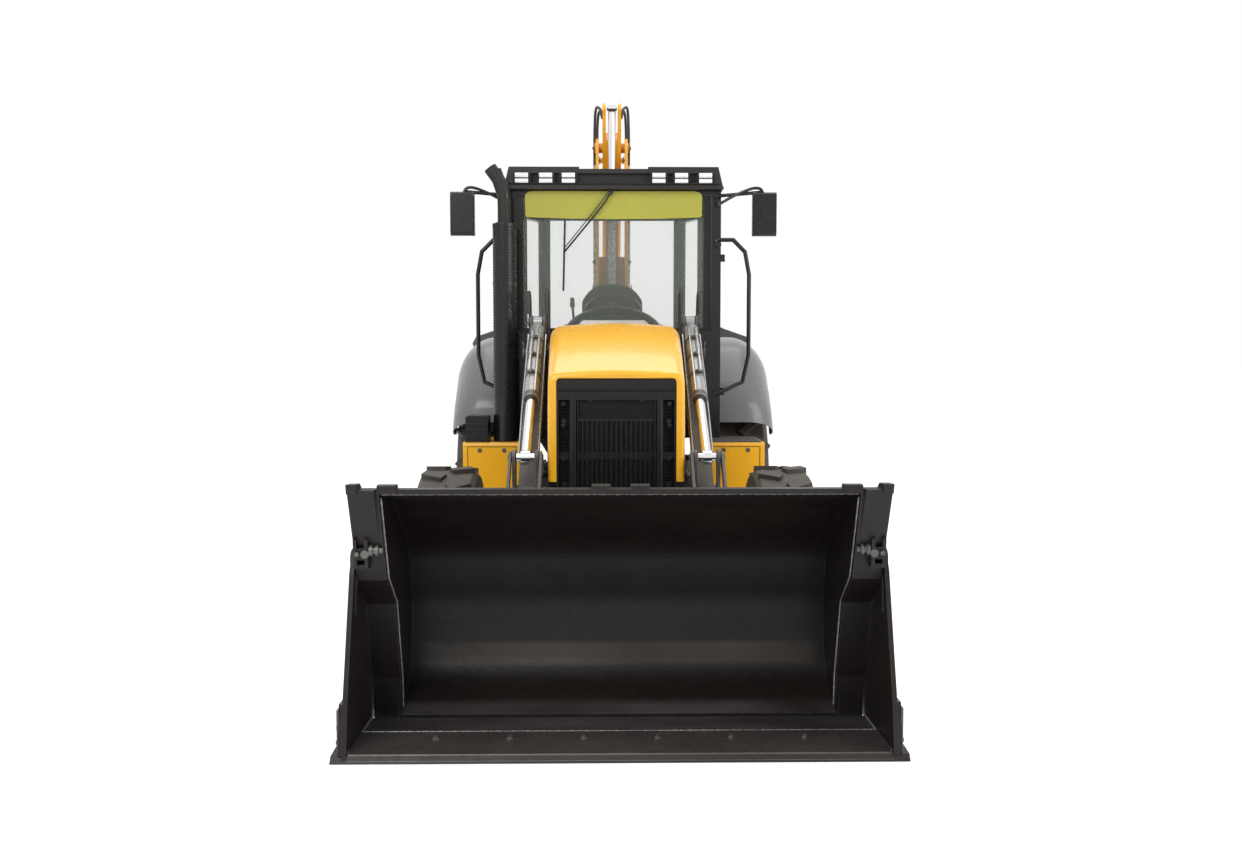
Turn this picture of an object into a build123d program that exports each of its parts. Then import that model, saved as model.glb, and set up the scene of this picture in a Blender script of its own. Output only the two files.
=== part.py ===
from build123d import *
import os
from math import asin, atan2, cos, degrees, hypot, radians, sin

# Backhoe loader with a four-in-one front bucket, a centre-pivot backhoe and radial stabilisers.
# Millimetres. +Z is up, the machine drives towards -Y and its left side is +X. The ground is Z = 0.
# Side outlines are (behind, height) pairs: the distance behind the front axle, and the height.

os.makedirs("parts", exist_ok=True)

# ---- Running gear -------------------------------------------------------------------------
front_axle_y = -881.0
wheelbase = 2175.0
front_tyre_radius = 500.0
front_tyre_width = 340.0
front_rim_radius = 236.0
front_track_half = 955.0
kingpin_x = 760.0
rear_tyre_radius = 710.0
rear_tyre_width = 430.0
rear_rim_radius = 362.0
rear_track_half = 915.0
tyre_fit = 0.3
moving_gap = 6.0
pin_fit = 0.3

# ---- Frame --------------------------------------------------------------------------------
rail_inner = 300.0
rail_outer = 380.0
rail_bottom = 640.0
rail_top = 900.0
rail_front = -343.0
nose_front = -493.0
plate = 25.0

# ---- Loader -------------------------------------------------------------------------------
arm_inner = 442.0
arm_outer = 538.0
arm_pivot = (857.0, 1650.0)
bucket_pin = (-1100.0, 280.0)
lever_pivot = (-453.0, 900.0)
lever_length = 190.0
tilt_base = (797.0, 1850.0)
lift_base = (1040.0, 900.0)
lift_eye = (-13.0, 900.0)
arm_mid = (arm_inner + arm_outer) / 2
strap = 16.0
lever_eye = (lever_pivot[0], lever_pivot[1] + lever_length)
bucket_top_pin = (bucket_pin[0], bucket_pin[1] + lever_length)

# ---- Four-in-one bucket -------------------------------------------------------------------
lip = -2100.0
jaw_outer = 1130.0
jaw_plate = 20.0
lip_half = jaw_outer + 45
shell_plate = 20.0
shell_outer = jaw_outer - jaw_plate - moving_gap
pocket_inner = shell_outer - 104
bucket_height = 1100.0
jaw_hinge = (-1790.0, 780.0)
jaw_lever = 180.0
jaw_lever_angle = 82.0
jaw_base = (-1290.0, 330.0)

# ---- Cab and bodywork ---------------------------------------------------------------------
cab_front = 1130.0
cab_rear = 2587.0
cab_half = 720.0
cab_rear_half = 560.0
cab_taper_start = 2150.0
cab_floor = 1080.0
waist = 1500.0
lower_half = 685.0
cab_eaves = 2740.0
roof_top = 2890.0
cab_wall = 45.0
pillar = 62.0
pillar_b = 1830.0
hood_half = 385.0
hood_front = -490.0
hood_crest = 330.0
hood_rear = 1090.0
hood_front_top = 1515.0
hood_crest_top = 1820.0
hood_bottom = 960.0
fender_outer = 1150.0

# ---- Backhoe ------------------------------------------------------------------------------
swing_axis = 3267.0
boom_foot = (3467.0, 800.0)
boom_half = 130.0
boom_plate = 25.0
boom_base = (3587.0, 496.0)
boom_eye = (3037.0, 1790.0)
dipper_pivot = (2862.0, 3320.0)
dipper_horn = (2692.0, 3610.0)
dipper_base = (2842.0, 2060.0)
dipper_half = 75.0
hoe_pin = (3545.0, 1830.0)
hoe_lever_pivot = (3467.0, 2064.0)
hoe_knuckle = (3641.0, 1983.0)
hoe_ear_pin = (3679.0, 1725.0)
hoe_base = (3097.0, 3261.0)
hoe_bucket_half = 260.0

# ---- Stabilisers --------------------------------------------------------------------------
leg_front = 2903.0
leg_rear = 2987.0
leg_pivot = (420.0, 750.0)
leg_foot = (1000.0, 1750.0)
leg_cylinder_base = (270.0, 1430.0)
leg_cylinder_eye = (513.0, 993.0)


def side_plane(x):
    return Plane(origin=(x, front_axle_y, 0), x_dir=(0, 1, 0), z_dir=(1, 0, 0))


def slab(outline, x0, x1, mode=Mode.ADD):
    """Extrude a side outline from x0 to x1. A third number at a corner is its radius."""
    with BuildSketch(side_plane(x0)) as profile:
        with BuildLine():
            Polyline(*[corner[:2] for corner in outline], close=True)
        make_face()
        for corner in outline:
            if len(corner) > 2:
                nearest = profile.vertices().sort_by_distance((corner[0], corner[1], 0))[0]
                fillet(nearest, corner[2])
    extrude(profile.sketch, amount=x1 - x0, mode=mode)


def cross(x0, x1, place, radius, mode=Mode.ADD):
    """A round bar across the machine, from x0 to x1, at (behind, height)."""
    with BuildSketch(side_plane(x0)) as section:
        with Locations(place):
            Circle(radius)
    extrude(section.sketch, amount=x1 - x0, mode=mode)


def block(x, behind, height, mode=Mode.ADD):
    """A square-cornered block between pairs of limits."""
    size = (x[1] - x[0], behind[1] - behind[0], height[1] - height[0])
    centre = (sum(x) / 2, front_axle_y + sum(behind) / 2, sum(height) / 2)
    with Locations(centre):
        Box(*size, mode=mode)


def bar(start, end, radius, mode=Mode.ADD):
    """A round bar between two (x, behind, height) points."""
    first = Vector(start[0], front_axle_y + start[1], start[2])
    last = Vector(end[0], front_axle_y + end[1], end[2])
    with BuildSketch(Plane(origin=first, z_dir=last - first)) as section:
        Circle(radius)
    extrude(section.sketch, amount=(last - first).length, mode=mode)


def along(start, end, distance):
    """The point of a side outline at a distance from start towards end."""
    length = hypot(end[0] - start[0], end[1] - start[1])
    share = distance / length
    return (start[0] + (end[0] - start[0]) * share, start[1] + (end[1] - start[1]) * share)


def barrel(x, base, tip, length, radius, rod_radius, eye_half, pin_radius):
    """Barrel of a hydraulic cylinder in a side plane: an eye at the base, a tube and a gland."""
    foot = along(base, tip, radius * 2 + 2)
    end = along(base, tip, length)
    collar = along(base, tip, length - 45)
    bottom = along(base, tip, radius * 2 + 20)
    bar((x, *base), (x, *foot), min(eye_half, radius) * 0.9)
    bar((x, *foot), (x, *end), radius)
    bar((x, *collar), (x, *end), radius * 1.12)
    cross(x - eye_half, x + eye_half, base, radius * 0.95)
    cross(x - radius, x + radius, base, pin_radius + pin_fit, mode=Mode.SUBTRACT)
    bar((x, *bottom), (x, *end), rod_radius + pin_fit, mode=Mode.SUBTRACT)


def rod(x, base, tip, length, radius, eye_radius, eye_half, pin_half):
    """Rod of a hydraulic cylinder: a bar, an eye at its tip and the pin that the eye carries."""
    inner = along(tip, base, length)
    bar((x, *inner), (x, *tip), radius)
    cross(x - eye_half, x + eye_half, tip, eye_radius)
    cross(x - pin_half, x + pin_half, tip, eye_radius * 0.6)


def finish(builder, label):
    """Name a piece and write it."""
    builder.part.label = label
    export_step(builder.part, f"parts/{label}.step")


def mirrored():
    mirror(about=Plane.YZ)


# ==== Wheels ===============================================================================
def tyre(sign, track_half, behind, radius, width, rim_radius, lug):
    """A carcass of beads, bulged side walls and crown, with two staggered rows of lugs."""
    half = width / 2
    centre = (sign * track_half, front_axle_y + behind, radius)
    plane = Plane(origin=centre, x_dir=(1, 0, 0), z_dir=(0, -1, 0))
    bead = rim_radius + tyre_fit
    crown = radius - lug["height"]
    with BuildSketch(plane) as section:
        with BuildLine():
            Polyline(
                (-half * 0.80, bead), (-half * 0.84, bead + 18), (-half, bead + (crown - bead) * 0.50),
                (-half * 0.95, crown * 0.93), (-half * 0.80, crown * 0.985), (0, crown),
                (half * 0.80, crown * 0.985), (half * 0.95, crown * 0.93),
                (half, bead + (crown - bead) * 0.50), (half * 0.84, bead + 18), (half * 0.80, bead),
                close=True,
            )
        make_face()
    revolve(section.sketch, axis=Axis(centre, (1, 0, 0)))
    # Each lug stands on the crown; its far corners reach the tyre's radius.
    angle = radians(lug["angle"])
    reach = (lug["length"] * sin(angle) + lug["width"] * cos(angle)) / 2
    top = (radius ** 2 - reach ** 2) ** 0.5
    root = crown * 0.985 - lug["height"] * 0.75
    step = 360 / lug["count"]
    # The wheel is turned until one lug's far corner points straight down.
    turn = degrees(asin(reach / radius))
    places = [
        Location(centre) * Rot(X=step * (index + shift) + turn) * Pos(side * lug["offset"], 0, (top + root) / 2)
        * Rot(Z=side * lug["angle"])
        for index in range(lug["count"]) for side, shift in ((1, 0), (-1, 0.5))
    ]
    with Locations(*places):
        Box(lug["length"], lug["width"], top - root)


front_lug = {"count": 15, "length": 130, "width": 62, "height": 24, "angle": 24, "offset": 74}
rear_lug = {"count": 17, "length": 262, "width": 46, "height": 42, "angle": 42, "offset": 98}


def rim(sign, track_half, behind, height, width, rim_radius, disc_x, hub_inner, hub_radius):
    """A wheel rim: well, flanges, a dished disc and the hub that runs on the axle's end."""
    half = width / 2 * 0.80 - 1
    centre = (sign * track_half, front_axle_y + behind, height)
    plane = Plane(origin=centre, x_dir=(sign, 0, 0), z_dir=(0, -sign, 0))
    well = rim_radius - 12
    disc = disc_x - track_half
    hub = hub_inner - track_half
    with BuildSketch(plane) as section:
        with BuildLine():
            Polyline(
                (-half, rim_radius), (half, rim_radius), (half, well), (disc + 26, well),
                (disc + 10, rim_radius * 0.72), (disc + 14, hub_radius + 6), (disc + 50, hub_radius),
                (disc + 50, 0), (hub, 0), (hub, hub_radius), (disc - 10, hub_radius + 6),
                (disc - 6, rim_radius * 0.72), (disc, well), (-half, well), close=True,
            )
        make_face()
    revolve(section.sketch, axis=Axis(centre, (1, 0, 0)))


for label, sign in (("left", 1), ("right", -1)):
    with BuildPart() as front_tyre:
        tyre(sign, front_track_half, 0, front_tyre_radius, front_tyre_width, front_rim_radius, front_lug)
    finish(front_tyre, f"front_tyre_{label}")

    with BuildPart() as front_rim:
        rim(sign, front_track_half, 0, front_tyre_radius, front_tyre_width, front_rim_radius,
            front_track_half + 20, kingpin_x + 92, 105)
        cross(sign * kingpin_x, sign * (kingpin_x + 150), (0, front_tyre_radius), 40 + pin_fit, mode=Mode.SUBTRACT)
    finish(front_rim, f"front_rim_{label}")

    with BuildPart() as rear_tyre:
        tyre(sign, rear_track_half, wheelbase, rear_tyre_radius, rear_tyre_width, rear_rim_radius, rear_lug)
    finish(rear_tyre, f"rear_tyre_{label}")

    with BuildPart() as rear_rim:
        rim(sign, rear_track_half, wheelbase, rear_tyre_radius, rear_tyre_width, rear_rim_radius,
            rear_track_half - 20, 706, 150)
        cross(sign * 700, sign * 762, (wheelbase, rear_tyre_radius), 60 + pin_fit, mode=Mode.SUBTRACT)
    finish(rear_rim, f"rear_rim_{label}")

    # The steering knuckle turns on its kingpin inside the axle's yoke.
    with BuildPart() as knuckle:
        with BuildSketch(Plane.XY.offset(front_tyre_radius - 104)) as post:
            with Locations((sign * kingpin_x, front_axle_y)):
                Circle(52)
        extrude(post.sketch, amount=208)
        cross(sign * kingpin_x, sign * (kingpin_x + 90), (0, front_tyre_radius), 78)
        cross(sign * kingpin_x, sign * (kingpin_x + 148), (0, front_tyre_radius), 40)
        block(sorted((sign * (kingpin_x - 20), sign * (kingpin_x + 20))), (50, 185),
              (front_tyre_radius - 30, front_tyre_radius + 10))
        for low in (front_tyre_radius - 105, front_tyre_radius + 70):
            with Locations((sign * kingpin_x, front_axle_y, low + 17.5)):
                Cylinder(22 + pin_fit, 35, mode=Mode.SUBTRACT)
    finish(knuckle, f"knuckle_{label}")

# ==== Axles ================================================================================
with BuildPart() as front_axle:
    with BuildSketch(Plane.XZ.offset(-front_axle_y - 75)) as beam:
        with BuildLine():
            Polyline((0, 400), (150, 400), (560, 440), (660, 440), (660, 560), (300, 575),
                     (150, 600), (0, 600), close=True)
        make_face()
    extrude(beam.sketch, amount=150)
    yoke_gap = 110
    for low, high in ((front_tyre_radius - 146, front_tyre_radius - yoke_gap),
                      (front_tyre_radius + yoke_gap, front_tyre_radius + 146)):
        block((640, kingpin_x), (-55, 55), (low, high))
        with Locations((kingpin_x, front_axle_y, (low + high) / 2)):
            Cylinder(55, high - low)
    for low, high in ((-146, -72), (72, 146)):
        with Locations((kingpin_x, front_axle_y, front_tyre_radius + (low + high) / 2)):
            Cylinder(22, high - low)
    block((610, 660), (-75, 75), (front_tyre_radius - 146, front_tyre_radius + 146))
    mirrored()
    bar((0, -80, 500), (0, 80, 500), 32 + pin_fit, mode=Mode.SUBTRACT)
finish(front_axle, "front_axle")

with BuildPart() as rear_axle:
    axle_height = rear_tyre_radius
    cross(0, 600, (wheelbase, axle_height), 105)
    cross(0, 230, (wheelbase, axle_height), 185)
    cross(560, 700, (wheelbase, axle_height), 165)
    cross(600, 760, (wheelbase, axle_height), 60)
    block((rail_inner - 10, rail_outer + 10), (wheelbase - 60, wheelbase + 60), (axle_height, 820))
    bar((0, wheelbase - 230, 700), (0, wheelbase - 100, 700), 60)
    mirrored()
finish(rear_axle, "rear_axle")

# ==== Frame ================================================================================
tower_front = 765.0
tower_rear = 1098.0
tower_inner = arm_inner - 10
tower_outer = arm_outer + 10
with BuildPart() as frame:
    # Rails, raised over the rear axle, and the plates that close the rear frame.
    slab([(rail_front, rail_bottom, 20), (rail_front, rail_top), (leg_front - 8 - plate, rail_top),
          (leg_front - 8 - plate, rail_bottom), (wheelbase + 260, rail_bottom),
          (wheelbase + 150, 820, 40), (wheelbase - 150, 820, 40), (wheelbase - 260, rail_bottom)],
         rail_inner, rail_outer)
    # Nose casting, with the front cross-member.
    slab([(nose_front, 600, 25), (nose_front, 800, 25), (rail_front + 60, rail_top),
          (rail_front + 60, 600)], 0, 330)
    block((0, rail_outer), (700, 800), (rail_bottom, rail_bottom + 44))
    block((0, rail_outer), (1250, 1350), (rail_top - 140, rail_top - 60))
    # Axle hangers, either side of the front axle's beam.
    for low, high in ((-118, -90), (90, 118)):
        slab_low = front_tyre_radius - 60
        block((0, 110), (low, high), (slab_low, rail_bottom + 60))
    block((0, rail_inner), (-118, 118), (rail_bottom + 40, rail_bottom + 90))
    bar((0, -118, front_tyre_radius), (0, 118, front_tyre_radius), 32)
    # Seats of the hood and of the cab.
    for low, high, top in ((-330, -250, hood_bottom), (500, 580, hood_bottom), (1300, 1400, cab_floor),
                           (2300, 2400, cab_floor)):
        block((rail_inner, rail_outer), (low, high), (rail_top, top))
    # Loader towers: an inner and an outer plate, with a box between them low down.
    tower = [(tower_front, rail_bottom), (tower_front - 5, 1250), (797, 1720, 60), (930, 1720, 60),
             (tower_rear, 1150), (tower_rear, rail_bottom)]
    slab(tower, tower_inner - 20, tower_inner)
    slab(tower, tower_outer, tower_outer + 20)
    block((rail_outer, tower_inner - 20), (tower_front + 20, tower_rear), (rail_bottom, rail_top))
    block((tower_inner - 20, tower_outer + 20), (tower_front + 20, tower_rear), (rail_bottom, 720))
    # Pins: loader arm and lift cylinder.
    cross(tower_inner - 35, tower_outer + 35, arm_pivot, 38)
    cross(tower_inner - 30, tower_outer + 30, lift_base, 28)
    # Rear plates, either side of the stabiliser legs.
    rear_outline = [(0, 430), (500, 430), (500, 830), (390, 1000), (390, 1480), (240, 1480),
                    (240, 1000), (160, 930), (0, 930)]
    for low, high in ((leg_front - 8 - plate, leg_front - 8), (leg_rear + 6, leg_rear + 6 + plate)):
        outline = rear_outline
        if low > leg_rear:
            outline = [(0, 430), (500, 430), (500, 830), (390, 930), (0, 930)]
        with BuildSketch(Plane.XZ.offset(-front_axle_y - low)) as rear_plate:
            with BuildLine():
                Polyline(*outline, close=True)
            make_face()
        extrude(rear_plate.sketch, amount=-(high - low))
    block((0, 300), (leg_front - 8, leg_rear + 6), (430, 640))
    bar((leg_pivot[0], leg_front - 20, leg_pivot[1]), (leg_pivot[0], leg_rear + 20, leg_pivot[1]), 30)
    bar((leg_cylinder_base[0], leg_front - 20, leg_cylinder_base[1]),
        (leg_cylinder_base[0], leg_rear, leg_cylinder_base[1]), 20)
    # Swing ears and the king pins.
    for low, high in ((430, 480), (880, 930)):
        slab([(leg_rear + 6, low), (leg_rear + 6, high), (swing_axis, high), (swing_axis, low)], 0, 75)
        with Locations((0, front_axle_y + swing_axis, (low + high) / 2)):
            Cylinder(75, high - low)
    mirrored()
    for low, high in ((430, 560), (800, 930)):
        with Locations((0, front_axle_y + swing_axis, (low + high) / 2)):
            Cylinder(40, high - low)
finish(frame, "frame")

# Tie-down lugs on the nose and on the rear plate, each with an upright eye.
tie_radius = 22
tie_thickness = 25
with BuildPart() as tie_downs:
    for x, root, out, z in ((220, nose_front, -1, 640), (440, leg_rear + 6 + plate, 1, 450)):
        eye = root + out * 42
        block((x - 40, x + 40), sorted((root, eye)), (z, z + tie_thickness))
        with Locations((x, front_axle_y + eye, z + tie_thickness / 2)):
            Cylinder(40, tie_thickness)
            Cylinder(tie_radius, tie_thickness + 2, mode=Mode.SUBTRACT)
    mirrored()
finish(tie_downs, "tie_downs")

with BuildPart() as powertrain:
    block((-230, 230), (-150, 640), (rail_bottom + 90, 1380))
    block((-200, 200), (640, 760), (rail_bottom + 60, 1100))
    block((-170, 170), (760, 1240), (rail_bottom + 60, 1040))
    bar((0, 1240, 700), (0, wheelbase - 230, 700), 40)
    block((-rail_inner, rail_inner), (200, 280), (760, 830))
finish(powertrain, "powertrain")

# ==== Bodywork =============================================================================
with BuildPart() as hood:
    hood_line = [(hood_front, hood_bottom), (hood_front, hood_front_top - 20, 30), (hood_crest, hood_crest_top, 160),
                 (hood_rear, hood_crest_top - 10), (hood_rear, hood_bottom)]
    slab(hood_line, -hood_half, hood_half)
    # Side panels that stand proud of the hood's walls.
    for sign in (1, -1):
        slab([(hood_front + 12, hood_bottom + 15, 30), (hood_front + 12, hood_front_top - 110, 60),
              (hood_crest - 40, hood_front_top - 40, 80), (600, hood_front_top - 130, 40),
              (440, hood_bottom + 15, 60)], sign * (hood_half - 5), sign * (hood_half + 8))
    # The top edges are cut to a slope that grows towards the crest.
    for sign in (1, -1):
        with BuildSketch(Plane.XZ.offset(-front_axle_y - hood_front + 10)) as top_edge:
            with BuildLine():
                Polyline((sign * (hood_half - 85), hood_crest_top + 10), (sign * (hood_half + 20), hood_crest_top + 10),
                         (sign * (hood_half + 20), hood_crest_top - 220), close=True)
            make_face()
        extrude(top_edge.sketch, amount=-(hood_rear - hood_front + 20), mode=Mode.SUBTRACT)
    lower_inside = [(hood_front - 5, hood_bottom - 5), (hood_front - 5, hood_front_top - 60), (-150, 1560),
                    (hood_rear - 20, 1560), (hood_rear - 20, hood_bottom - 5)]
    slab(lower_inside, -hood_half + 22, hood_half - 22, mode=Mode.SUBTRACT)
    upper_inside = [(-150, 1550), (hood_crest, hood_crest_top - 30), (hood_rear - 20, hood_crest_top - 40),
                    (hood_rear - 20, 1550)]
    slab(upper_inside, -hood_half + 120, hood_half - 120, mode=Mode.SUBTRACT)
    block((-hood_half - 15, hood_half + 15), (640, hood_rear + 5), (hood_bottom - 5, 1420), mode=Mode.SUBTRACT)
    # Slots that let the heat out of each side.
    for index in range(8):
        b = -60 + index * 46
        block((-hood_half - 15, hood_half + 15), (b, b + 22), (1180, 1330), mode=Mode.SUBTRACT)
finish(hood, "hood")

with BuildPart() as grille:
    grille_half = 325
    grille_low = 825
    grille_high = 1448
    face = hood_front + 4
    block((-grille_half, grille_half), (face + 26, face + 32), (grille_low, grille_high))
    block((-hood_half + 22, hood_half - 22), (face + 12, face + 32), (1080, 1120))
    for low, high in ((grille_high - 46, grille_high), (grille_low, grille_low + 30)):
        block((-grille_half, grille_half), (face, face + 30), (low, high))
    for sign in (1, -1):
        block(sorted((sign * (grille_half - 14), sign * grille_half)), (face, face + 30), (grille_low, grille_high))
        # Rounded pillar with bolt seats beside the ribs.
        bar((sign * 232, face + 24, grille_low + 10), (sign * 232, face + 24, grille_high - 20), 26)
        for z in (grille_low + 120, grille_high - 160):
            bar((sign * 282, face + 8, z), (sign * 282, face + 30, z), 14)
    for index in range(15):
        x = -182 + index * 26
        block((x - 4, x + 4), (face + 6, face + 30), (grille_low + 20, grille_high - 150))
    block((-206, 206), (face + 6, face + 30), (grille_high - 162, grille_high - 146))
finish(grille, "grille")


def cab_outline(inset):
    """Half plan of the cab: square front, sides that taper to the rear."""
    return [(0, cab_front + inset), (cab_half - inset, cab_front + inset),
            (cab_half - inset, cab_taper_start), (cab_rear_half - inset, cab_rear - inset),
            (0, cab_rear - inset)]


def cab_prism(inset, low, high, mode=Mode.ADD):
    with BuildSketch(Plane(origin=(0, front_axle_y, low), z_dir=(0, 0, 1))) as plan:
        with BuildLine():
            Polyline(*cab_outline(inset), close=True)
        make_face()
        mirror(about=Plane.YZ)
    extrude(plan.sketch, amount=high - low, mode=mode)


sill = 1180.0
door_front = cab_front + pillar + 8
door_rear = pillar_b - 8
hinge_x = cab_half + 18
hinge_b = cab_front + pillar - 7
hinge_heights = (1400, 2300)
with BuildPart() as cab_frame:
    cab_prism(0, cab_floor, cab_eaves)
    cab_prism(cab_wall, waist, cab_eaves + 1, mode=Mode.SUBTRACT)
    block((-lower_half + cab_wall, lower_half - cab_wall), (cab_front + cab_wall, cab_taper_start),
          (cab_floor + 40, waist), mode=Mode.SUBTRACT)
    block((-500, 500), (cab_front + cab_wall, cab_rear - cab_wall), (cab_floor + 40, waist), mode=Mode.SUBTRACT)
    # Narrower below the waist, so that the rear wheels pass.
    for low, high in ((-cab_half - 5, -lower_half), (lower_half, cab_half + 5)):
        block((low, high), (1400, cab_rear + 5), (cab_floor - 5, waist - 20), mode=Mode.SUBTRACT)
    # Windscreen, rear window and quarter windows.
    block((-cab_half + pillar, cab_half - pillar), (cab_front - 5, cab_front + cab_wall + 5),
          (1790, cab_eaves - 30), mode=Mode.SUBTRACT)
    block((-cab_rear_half + pillar, cab_rear_half - pillar), (cab_rear - cab_wall - 5, cab_rear + 5),
          (1500, cab_eaves - 30), mode=Mode.SUBTRACT)
    block((-cab_half - 5, cab_half + 5), (pillar_b + pillar, cab_taper_start - 20),
          (1820, cab_eaves - 60), mode=Mode.SUBTRACT)
    # Door openings, cut to clear the rear wheels' arch.
    door_hole = [(cab_front + pillar, sill - 60), (cab_front + pillar, cab_eaves - 40),
                 (pillar_b, cab_eaves - 40), (pillar_b, 1800), (1428, 1500), (1383, sill - 60)]
    slab(door_hole, -cab_half - 5, cab_half + 5, mode=Mode.SUBTRACT)
    # Ears and pins of the door hinges.
    for z in hinge_heights:
        for side in (1, -1):
            block(sorted((side * cab_half, side * (hinge_x + 14))), (hinge_b - 25, hinge_b + 5), (z - 30, z - 20))
            bar((side * hinge_x, hinge_b, z - 30), (side * hinge_x, hinge_b, z + 20), 9)
finish(cab_frame, "cab_frame")

with BuildPart() as cab_roof:
    with BuildSketch(Plane(origin=(0, front_axle_y, cab_eaves), z_dir=(0, 0, 1))) as plan:
        with BuildLine():
            Polyline((-cab_half - 10, cab_front - 60), (cab_half + 10, cab_front - 60),
                     (cab_half + 10, cab_taper_start), (cab_rear_half + 20, cab_rear + 20),
                     (-cab_rear_half - 20, cab_rear + 20), (-cab_half - 10, cab_taper_start), close=True)
        make_face()
    extrude(plan.sketch, amount=roof_top - cab_eaves, taper=12)
    block((-cab_half + 50, cab_half - 50), (cab_front - 70, cab_front - 9), (cab_eaves + 36, cab_eaves + 106),
          mode=Mode.SUBTRACT)
    # Lower middle and long grooves between the roof's shoulders.
    block((-230, 230), (cab_front - 70, cab_front + 420), (roof_top - 14, roof_top + 5), mode=Mode.SUBTRACT)
    for x in (-420, 420):
        block((x - 30, x + 30), (cab_front + 120, cab_rear - 250), (roof_top - 10, roof_top + 5), mode=Mode.SUBTRACT)
finish(cab_roof, "cab_roof")

glass = 6.0
with BuildPart() as cab_glass:
    block((-cab_half + pillar + 0.3, cab_half - pillar - 0.3), (cab_front + 20, cab_front + 20 + glass),
          (1790.3, cab_eaves - 30.3))
    block((-cab_rear_half + pillar + 0.3, cab_rear_half - pillar - 0.3), (cab_rear - 30, cab_rear - 30 + glass),
          (1500.3, cab_eaves - 30.3))
    for sign in (1, -1):
        block(sorted((sign * (cab_half - 25), sign * (cab_half - 25 + glass))),
              (pillar_b + pillar + 0.3, cab_taper_start - 20.3), (1820.3, cab_eaves - 60.3))
finish(cab_glass, "cab_glass")

with BuildPart() as seat:
    block((-260, 260), (1900, 2380), (1460, 1580))
    slab([(2330, 1560), (2440, 1560), (2520, 2180, 30), (2430, 2200, 30)], -240, 240)
    block((-180, 180), (1980, 2320), (cab_floor + 40, 1460))
finish(seat, "seat")

with BuildPart() as dashboard:
    block((-330, 330), (cab_front + cab_wall, 1400), (cab_floor + 40, 1760))
    bar((0, 1390, 1650), (0, 1560, 1950), 45)
    wheel_plane = Plane(origin=(0, front_axle_y + 1560, 1950), x_dir=(1, 0, 0), z_dir=(0, 170, 300))
    with BuildSketch(wheel_plane) as wheel_ring:
        Circle(200)
        Circle(172, mode=Mode.SUBTRACT)
        Rectangle(360, 40)
        Circle(50)
    extrude(wheel_ring.sketch, amount=26)
finish(dashboard, "dashboard")

# The fender's line, measured from the rear axle: a front drop, the top and a rear drop.
fender_line = [(-778, 1000), (-770, 1330, 90), (-475, 1690, 170), (-175, 1770, 150), (265, 1770, 170),
               (585, 1500, 90), (655, 1180)]
with BuildPart() as fenders:
    outside = [(wheelbase + corner[0], *corner[1:]) for corner in fender_line]
    slab(outside + [(wheelbase + 655, 1000)], cab_half, fender_outer)
    rim_edges = fenders.faces().sort_by(Axis.X)[-1].edges().filter_by(lambda edge: edge.center().Z > 1185)
    fillet(rim_edges, 70)
    inside = [(-740, 990), (-735, 1320, 70), (-455, 1655, 150), (-170, 1735, 130), (255, 1735, 150),
              (555, 1485, 70), (625, 1180), (625, 990)]
    slab([(wheelbase + corner[0], *corner[1:]) for corner in inside], cab_half - 1, fender_outer - 30, mode=Mode.SUBTRACT)
    open_side = [(-690, 990), (-680, 1300, 70), (-420, 1600, 150), (-150, 1675, 130), (235, 1675, 150),
                 (500, 1440, 70), (560, 1180), (560, 990)]
    slab([(wheelbase + corner[0], *corner[1:]) for corner in open_side], fender_outer - 40, fender_outer + 5,
         mode=Mode.SUBTRACT)
    block((cab_half - 5, fender_outer + 5), (wheelbase + 400, wheelbase + 700), (990, 1180), mode=Mode.SUBTRACT)
    mirrored()
finish(fenders, "fenders")

box_top = sill - 110
box_rear = wheelbase - rear_tyre_radius - 80
with BuildPart() as side_boxes:
    slab([(870, 460, 30), (870, box_top, 20), (box_rear, box_top, 20), (box_rear, 560, 30), (box_rear - 135, 460, 60)],
         620, 990)
    # Step treads pressed into the outer wall.
    for z in (600, 860):
        block((960, 995), (930, 1240), (z, z + 110), mode=Mode.SUBTRACT)
        block((955, 988), (930, 1240), (z, z + 14))
    block((tower_outer + 20, 620), (900, 1090), (700, 860))
    mirrored()
    # Ribbed battery cover on the right-hand box.
    slab([(885, box_top - 5), (885, box_top + 150, 20), (925, box_top + 165, 20), (1085, box_top + 165, 20),
          (1085, box_top - 5)], -970, -830)
    for z in (box_top + 40, box_top + 80, box_top + 120):
        block((-975, -825), (884, 888), (z, z + 12), mode=Mode.SUBTRACT)
finish(side_boxes, "side_boxes")

with BuildPart() as exhaust:
    stack = (-720, 1010)
    with Locations((stack[0], front_axle_y + stack[1], (box_top + 1330) / 2)):
        Cylinder(80, 1330 - box_top)
    with Locations((stack[0], front_axle_y + stack[1], 1915)):
        Cylinder(77, 1172)
    bar((stack[0], stack[1], 2500), (stack[0], stack[1], 2700), 43)
    bar((stack[0], stack[1], 2680), (stack[0] - 60, stack[1], 2850), 43)
finish(exhaust, "exhaust")

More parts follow.
